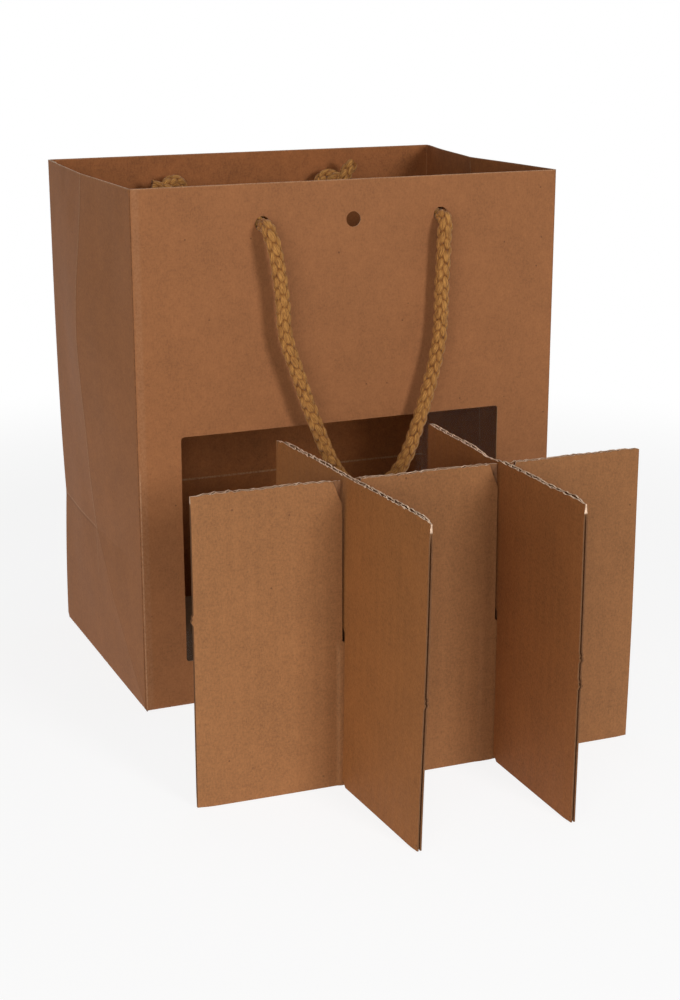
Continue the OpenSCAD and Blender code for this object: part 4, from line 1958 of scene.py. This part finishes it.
@dataclass
class BottleDivider:
    """The divider: a long panel and two cross panels, interlocked at their slots.

    Args:
        place: the long panel's middle on the floor.
        turn: the long panel's direction seen from above, in degrees.
        cross_turns: how far the two cross panels are off square, in degrees.
        spacing: the distance between the cross panels.
        long_l: the long panel's length.
        long_h: the long panel's height.
        cross_l: the cross panels' length.
        cross_h: the cross panels' height.
    """

    place: tuple[float, float] = (-14.0, -177.5)
    turn: float = -1.3
    cross_turns: tuple[float, float] = (4.2, 1.2)
    spacing: float = 70.4
    long_l: float = 202.4
    long_h: float = 134.0
    cross_l: float = 139.0
    cross_h: float = 135.0

    def crossing(self, side: int) -> tuple[float, float]:
        """Gives a crossing's place on the floor.

        Args:
            side: -1 for the left crossing, 1 for the right one.

        Returns:
            Its x and y.
        """
        turn = math.radians(self.turn)
        reach = side * self.spacing / 2
        return self.place[0] + reach * math.cos(turn), self.place[1] + reach * math.sin(turn)

    def cross_panel(self, node: str, name: str, side: int, **details: object) -> CorrugatedPanel:
        """Describes one cross panel.

        Args:
            node: the CAD node that it stands for.
            name: the piece's name.
            side: -1 for the left one, 1 for the right one.
            details: what only this panel has, as fields of CorrugatedPanel.

        Returns:
            The panel.
        """
        return CorrugatedPanel(
            node,
            name,
            length=self.cross_l,
            height=self.cross_h,
            slots=(0.0,),
            slots_down=False,
            lead_in=(3.0, 3.0),
            place=self.crossing(side),
            turn=self.turn + 90 + self.cross_turns[max(side, 0)],
            **details,
        )

    def panels(self) -> list[CorrugatedPanel]:
        """Lists the divider's panels.

        Returns:
            The long panel, then the left and the right cross panel.
        """
        half, front = self.spacing / 2, -self.cross_l / 2
        end, top = self.long_l / 2, self.long_h
        return [
            CorrugatedPanel(
                "divider_long_panel",
                "divider_long_board",
                length=self.long_l,
                height=self.long_h,
                slots=(-half, half),
                slots_down=True,
                lead_in=(4.0, 10.0),
                place=self.place,
                turn=self.turn,
                colour=(145, 97, 58),
                bow=-0.5,
                seed=21,
                dents=(
                    Dent(-end, top, (5, 7), 0.35, 0.3, 0.5),
                    Dent(end, top, (5, 8), 0.4, -0.4, 0.3),
                    Dent(-end, 0.0, (4, 4), 0.35, 0.0, -0.6),
                ),
                ridges=(
                    PressedRidge(-half - 2.4, 1.9, 65.5, 0.6),
                    PressedRidge(half - 5.4, 4.0, 65.0, 0.35),
                ),
                nicks=((-1, 82.0),),
            ),
            self.cross_panel(
                "divider_left_cross_panel",
                "divider_left_cross_board",
                -1,
                colour=(147, 92, 46),
                lean=1.3,
                seed=22,
                dents=(
                    Dent(front, self.cross_h, (4, 6), 0.6, 0.0, 1.0),
                    Dent(-front, self.cross_h, (5, 7), 0.5, 1.0, 0.8),
                ),
                nicks=((-1, 62.0),),
            ),
            self.cross_panel(
                "divider_right_cross_panel",
                "divider_right_cross_board",
                1,
                # Darker than the left cross board's colour: painted shade, as this board stands in the
                # left one's shadow.
                colour=(141, 85, 42),
                seed=23,
                dents=(
                    Dent(front, self.cross_h, (4, 5), 0.5, 0.0, 0.6),
                    Dent(10.0, self.cross_h, (9, 5), 0.55, 0.3, 1.2),
                ),
                nicks=((-1, 71.0), (-1, 60.0)),
            ),
        ]

    def build(self, finishes: Finishes) -> None:
        """Makes all the panels."""
        for panel in self.panels():
            panel.build(finishes)


class Finishes:
    """The materials that several pieces share."""

    def __init__(self) -> None:
        """Builds each shared material once."""
        paper_edge = RawEdgeFinish("paper_cut_edge", (246, 216, 190), (196, 160, 128), top_from=230.0)
        # The board edge's dark side colour is painted shade between the liners.
        board_edge = RawEdgeFinish("board_cut_edge", (250, 216, 186), (112, 76, 48), top_from=131.0)
        medium = KraftFinish("fluted_medium", (122, 82, 54), mottle=0.08, fibre=0.10, roughness=0.8)
        self.paper_edge = paper_edge.material()
        self.board_edge = board_edge.material()
        self.medium = medium.material()
        self.film = FilmFinish("clear_film").material()
        # The second colour is the painted shade between the strands.
        self.rope = RopeFinish("braided_cotton_rope", (204, 146, 76), (134, 82, 34)).material()
        self.card = CardFinish("grey_bottom_card", (112, 84, 62)).material()


@dataclass(frozen=True)
class Lamp:
    """A square lamp that looks at the object.

    Args:
        name: the lamp's name.
        place: where it hangs, in metres.
        size: the length of its side, in metres.
        power: its power, in watts.
    """

    name: str
    place: tuple[float, float, float]
    size: float
    power: float

    TARGET = (-0.01, -0.08, 0.10)

    def build(self) -> None:
        """Adds the lamp to the scene."""
        data = bpy.data.lights.new(self.name, "AREA")
        data.size = self.size
        data.energy = self.power
        made = add_object(self.name, data)
        made.location = self.place
        point_along(made, Vector(self.TARGET) - Vector(self.place))


@dataclass
class Studio:
    """The camera, the lamps and the pale floor.

    Args:
        camera_place: where the camera stands, in metres.
        camera_heading: the direction in which it looks.
        lens: its focal length, in millimetres.
        sensor: the width of its sensor, in millimetres.
        lamps: the lamps.
        world_light: how strongly the world lights the object.
        floor_glow: how strongly the floor glows near the object.
        floor_radius: the floor's radius, in metres.
        floor_level: the floor's height, in metres, a hair under the object.
    """

    camera_place: tuple[float, float, float] = (-0.32674, -0.82381, 0.33072)
    camera_heading: tuple[float, float, float] = (0.3755, 0.8836, -0.2802)
    lens: float = 64.877
    sensor: float = 36.0
    lamps: tuple[Lamp, ...] = (
        Lamp("key_lamp", (0.34, -1.72, 0.60), 0.4, 13.6),
        Lamp("soft_left_lamp", (-0.95, -1.35, 0.42), 0.9, 10.0),
        Lamp("side_lamp", (-1.6, -0.45, 0.35), 0.9, 2.6),
        Lamp("top_lamp", (0.1, 0.1, 1.7), 1.2, 6.0),
    )
    world_light: float = 0.01
    floor_glow: float = 0.30
    floor_radius: float = 3.0
    floor_level: float = -0.0004

    def camera(self) -> None:
        """Sets up the camera of the photograph's view."""
        data = bpy.data.cameras.new("photo_camera")
        data.lens = self.lens
        data.sensor_width = self.sensor
        data.clip_start = 0.01
        made = add_object("photo_camera", data)
        made.location = self.camera_place
        point_along(made, self.camera_heading)
        bpy.context.scene.camera = made

    def world(self) -> None:
        """Sets a faint white world that shows as plain white behind the object."""
        world = bpy.data.worlds.new("soft_studio")
        graph = Graph(world)
        levels = (graph.seen_ray(), 0.0, 1.0, self.world_light, 1.0)
        strength = graph.feed_all(graph.node("MapRange"), levels)
        background = graph.node("Background", {"Color": WHITE, "Strength": strength})
        graph.node("OutputWorld", {"Surface": background.outputs[0]})
        bpy.context.scene.world = world

    def floor_material(self) -> bpy.types.Material:
        """Makes the floor's white, which fades to plain white away from the object, and a glow near the
        object that is painted light on its lower parts.

        Returns:
            The node material.
        """
        graph = Graph.of_material("white_floor")
        place = graph.node("TexCoord").outputs["Object"]
        away = graph.node("VectorMath", {0: place}, operation="LENGTH").outputs["Value"]
        share = graph.ramp(away, 0.28, 0.62, (0.80, 1.0))
        lit = graph.ramp(away, 0.30, 0.75, (0.86, 0.30))
        # The glow near the object is painted light, standing in for light bounced off the floor.
        near = graph.ramp(away, 0.35, 0.65, (self.floor_glow, 0.0))
        matt = graph.node("BsdfDiffuse", {"Color": graph.grey(lit)})
        glow = graph.node("Emission", {"Color": WHITE, "Strength": near})
        white = graph.node("Emission", {"Color": WHITE, "Strength": 1.0})
        plain = graph.node("AddShader", {0: matt.outputs[0], 1: glow.outputs[0]})
        seen = graph.math("MULTIPLY", graph.seen_ray(), share)
        return graph.finish(graph.node("MixShader", {0: seen, 1: plain.outputs[0], 2: white.outputs[0]}))

    def floor(self) -> None:
        """Lays a round white floor that keeps the object's shadow."""
        ring = arc((0.0, 0.0), self.floor_radius, 0, 360, 97)[:-1]
        points = [(x, y, self.floor_level) for x, y in ((0.0, 0.0), *ring)]
        count = len(ring)
        faces = [(0, k + 1, (k + 1) % count + 1) for k in range(count)]
        mesh = bpy.data.meshes.new("studio_floor")
        mesh.from_pydata(points, [], faces)
        mesh.materials.append(self.floor_material())
        add_object("studio_floor", mesh)

    def build(self) -> None:
        """Makes the camera, the lamps, the world and the floor."""
        self.camera()
        for lamp in self.lamps:
            lamp.build()
        self.world()
        self.floor()
        bpy.context.scene.view_settings.view_transform = "Standard"


def dress_bottom_card(frame: dict, finishes: Finishes) -> None:
    """Gives the CAD model's bottom board its card finish.

    Args:
        finishes: the shared materials.
    """
    board = frame["nodes"]["bottom_board"]
    board.data.materials.clear()
    board.data.materials.append(finishes.card)
    LOG.info("bottom board: card finish on the CAD solid")


def main() -> None:
    """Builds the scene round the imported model."""
    logging.basicConfig(level=logging.INFO, format="%(name)s: %(message)s")
    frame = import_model()
    Studio().build()
    finishes = Finishes()
    RopeHandle(Wall.FRONT, tails=(150.0, 30.0), rolls=(20.0, 160.0)).build(finishes)
    back = RopeHandle(Wall.BACK, tails=(55.0, 160.0), rolls=(140.0, 30.0), tail_lengths=(13.0, 9.0))
    back.build(finishes)
    CarrierBag().build(finishes)
    dress_bottom_card(frame, finishes)
    BottleDivider().build(finishes)


if __name__ == "__main__":
    main()
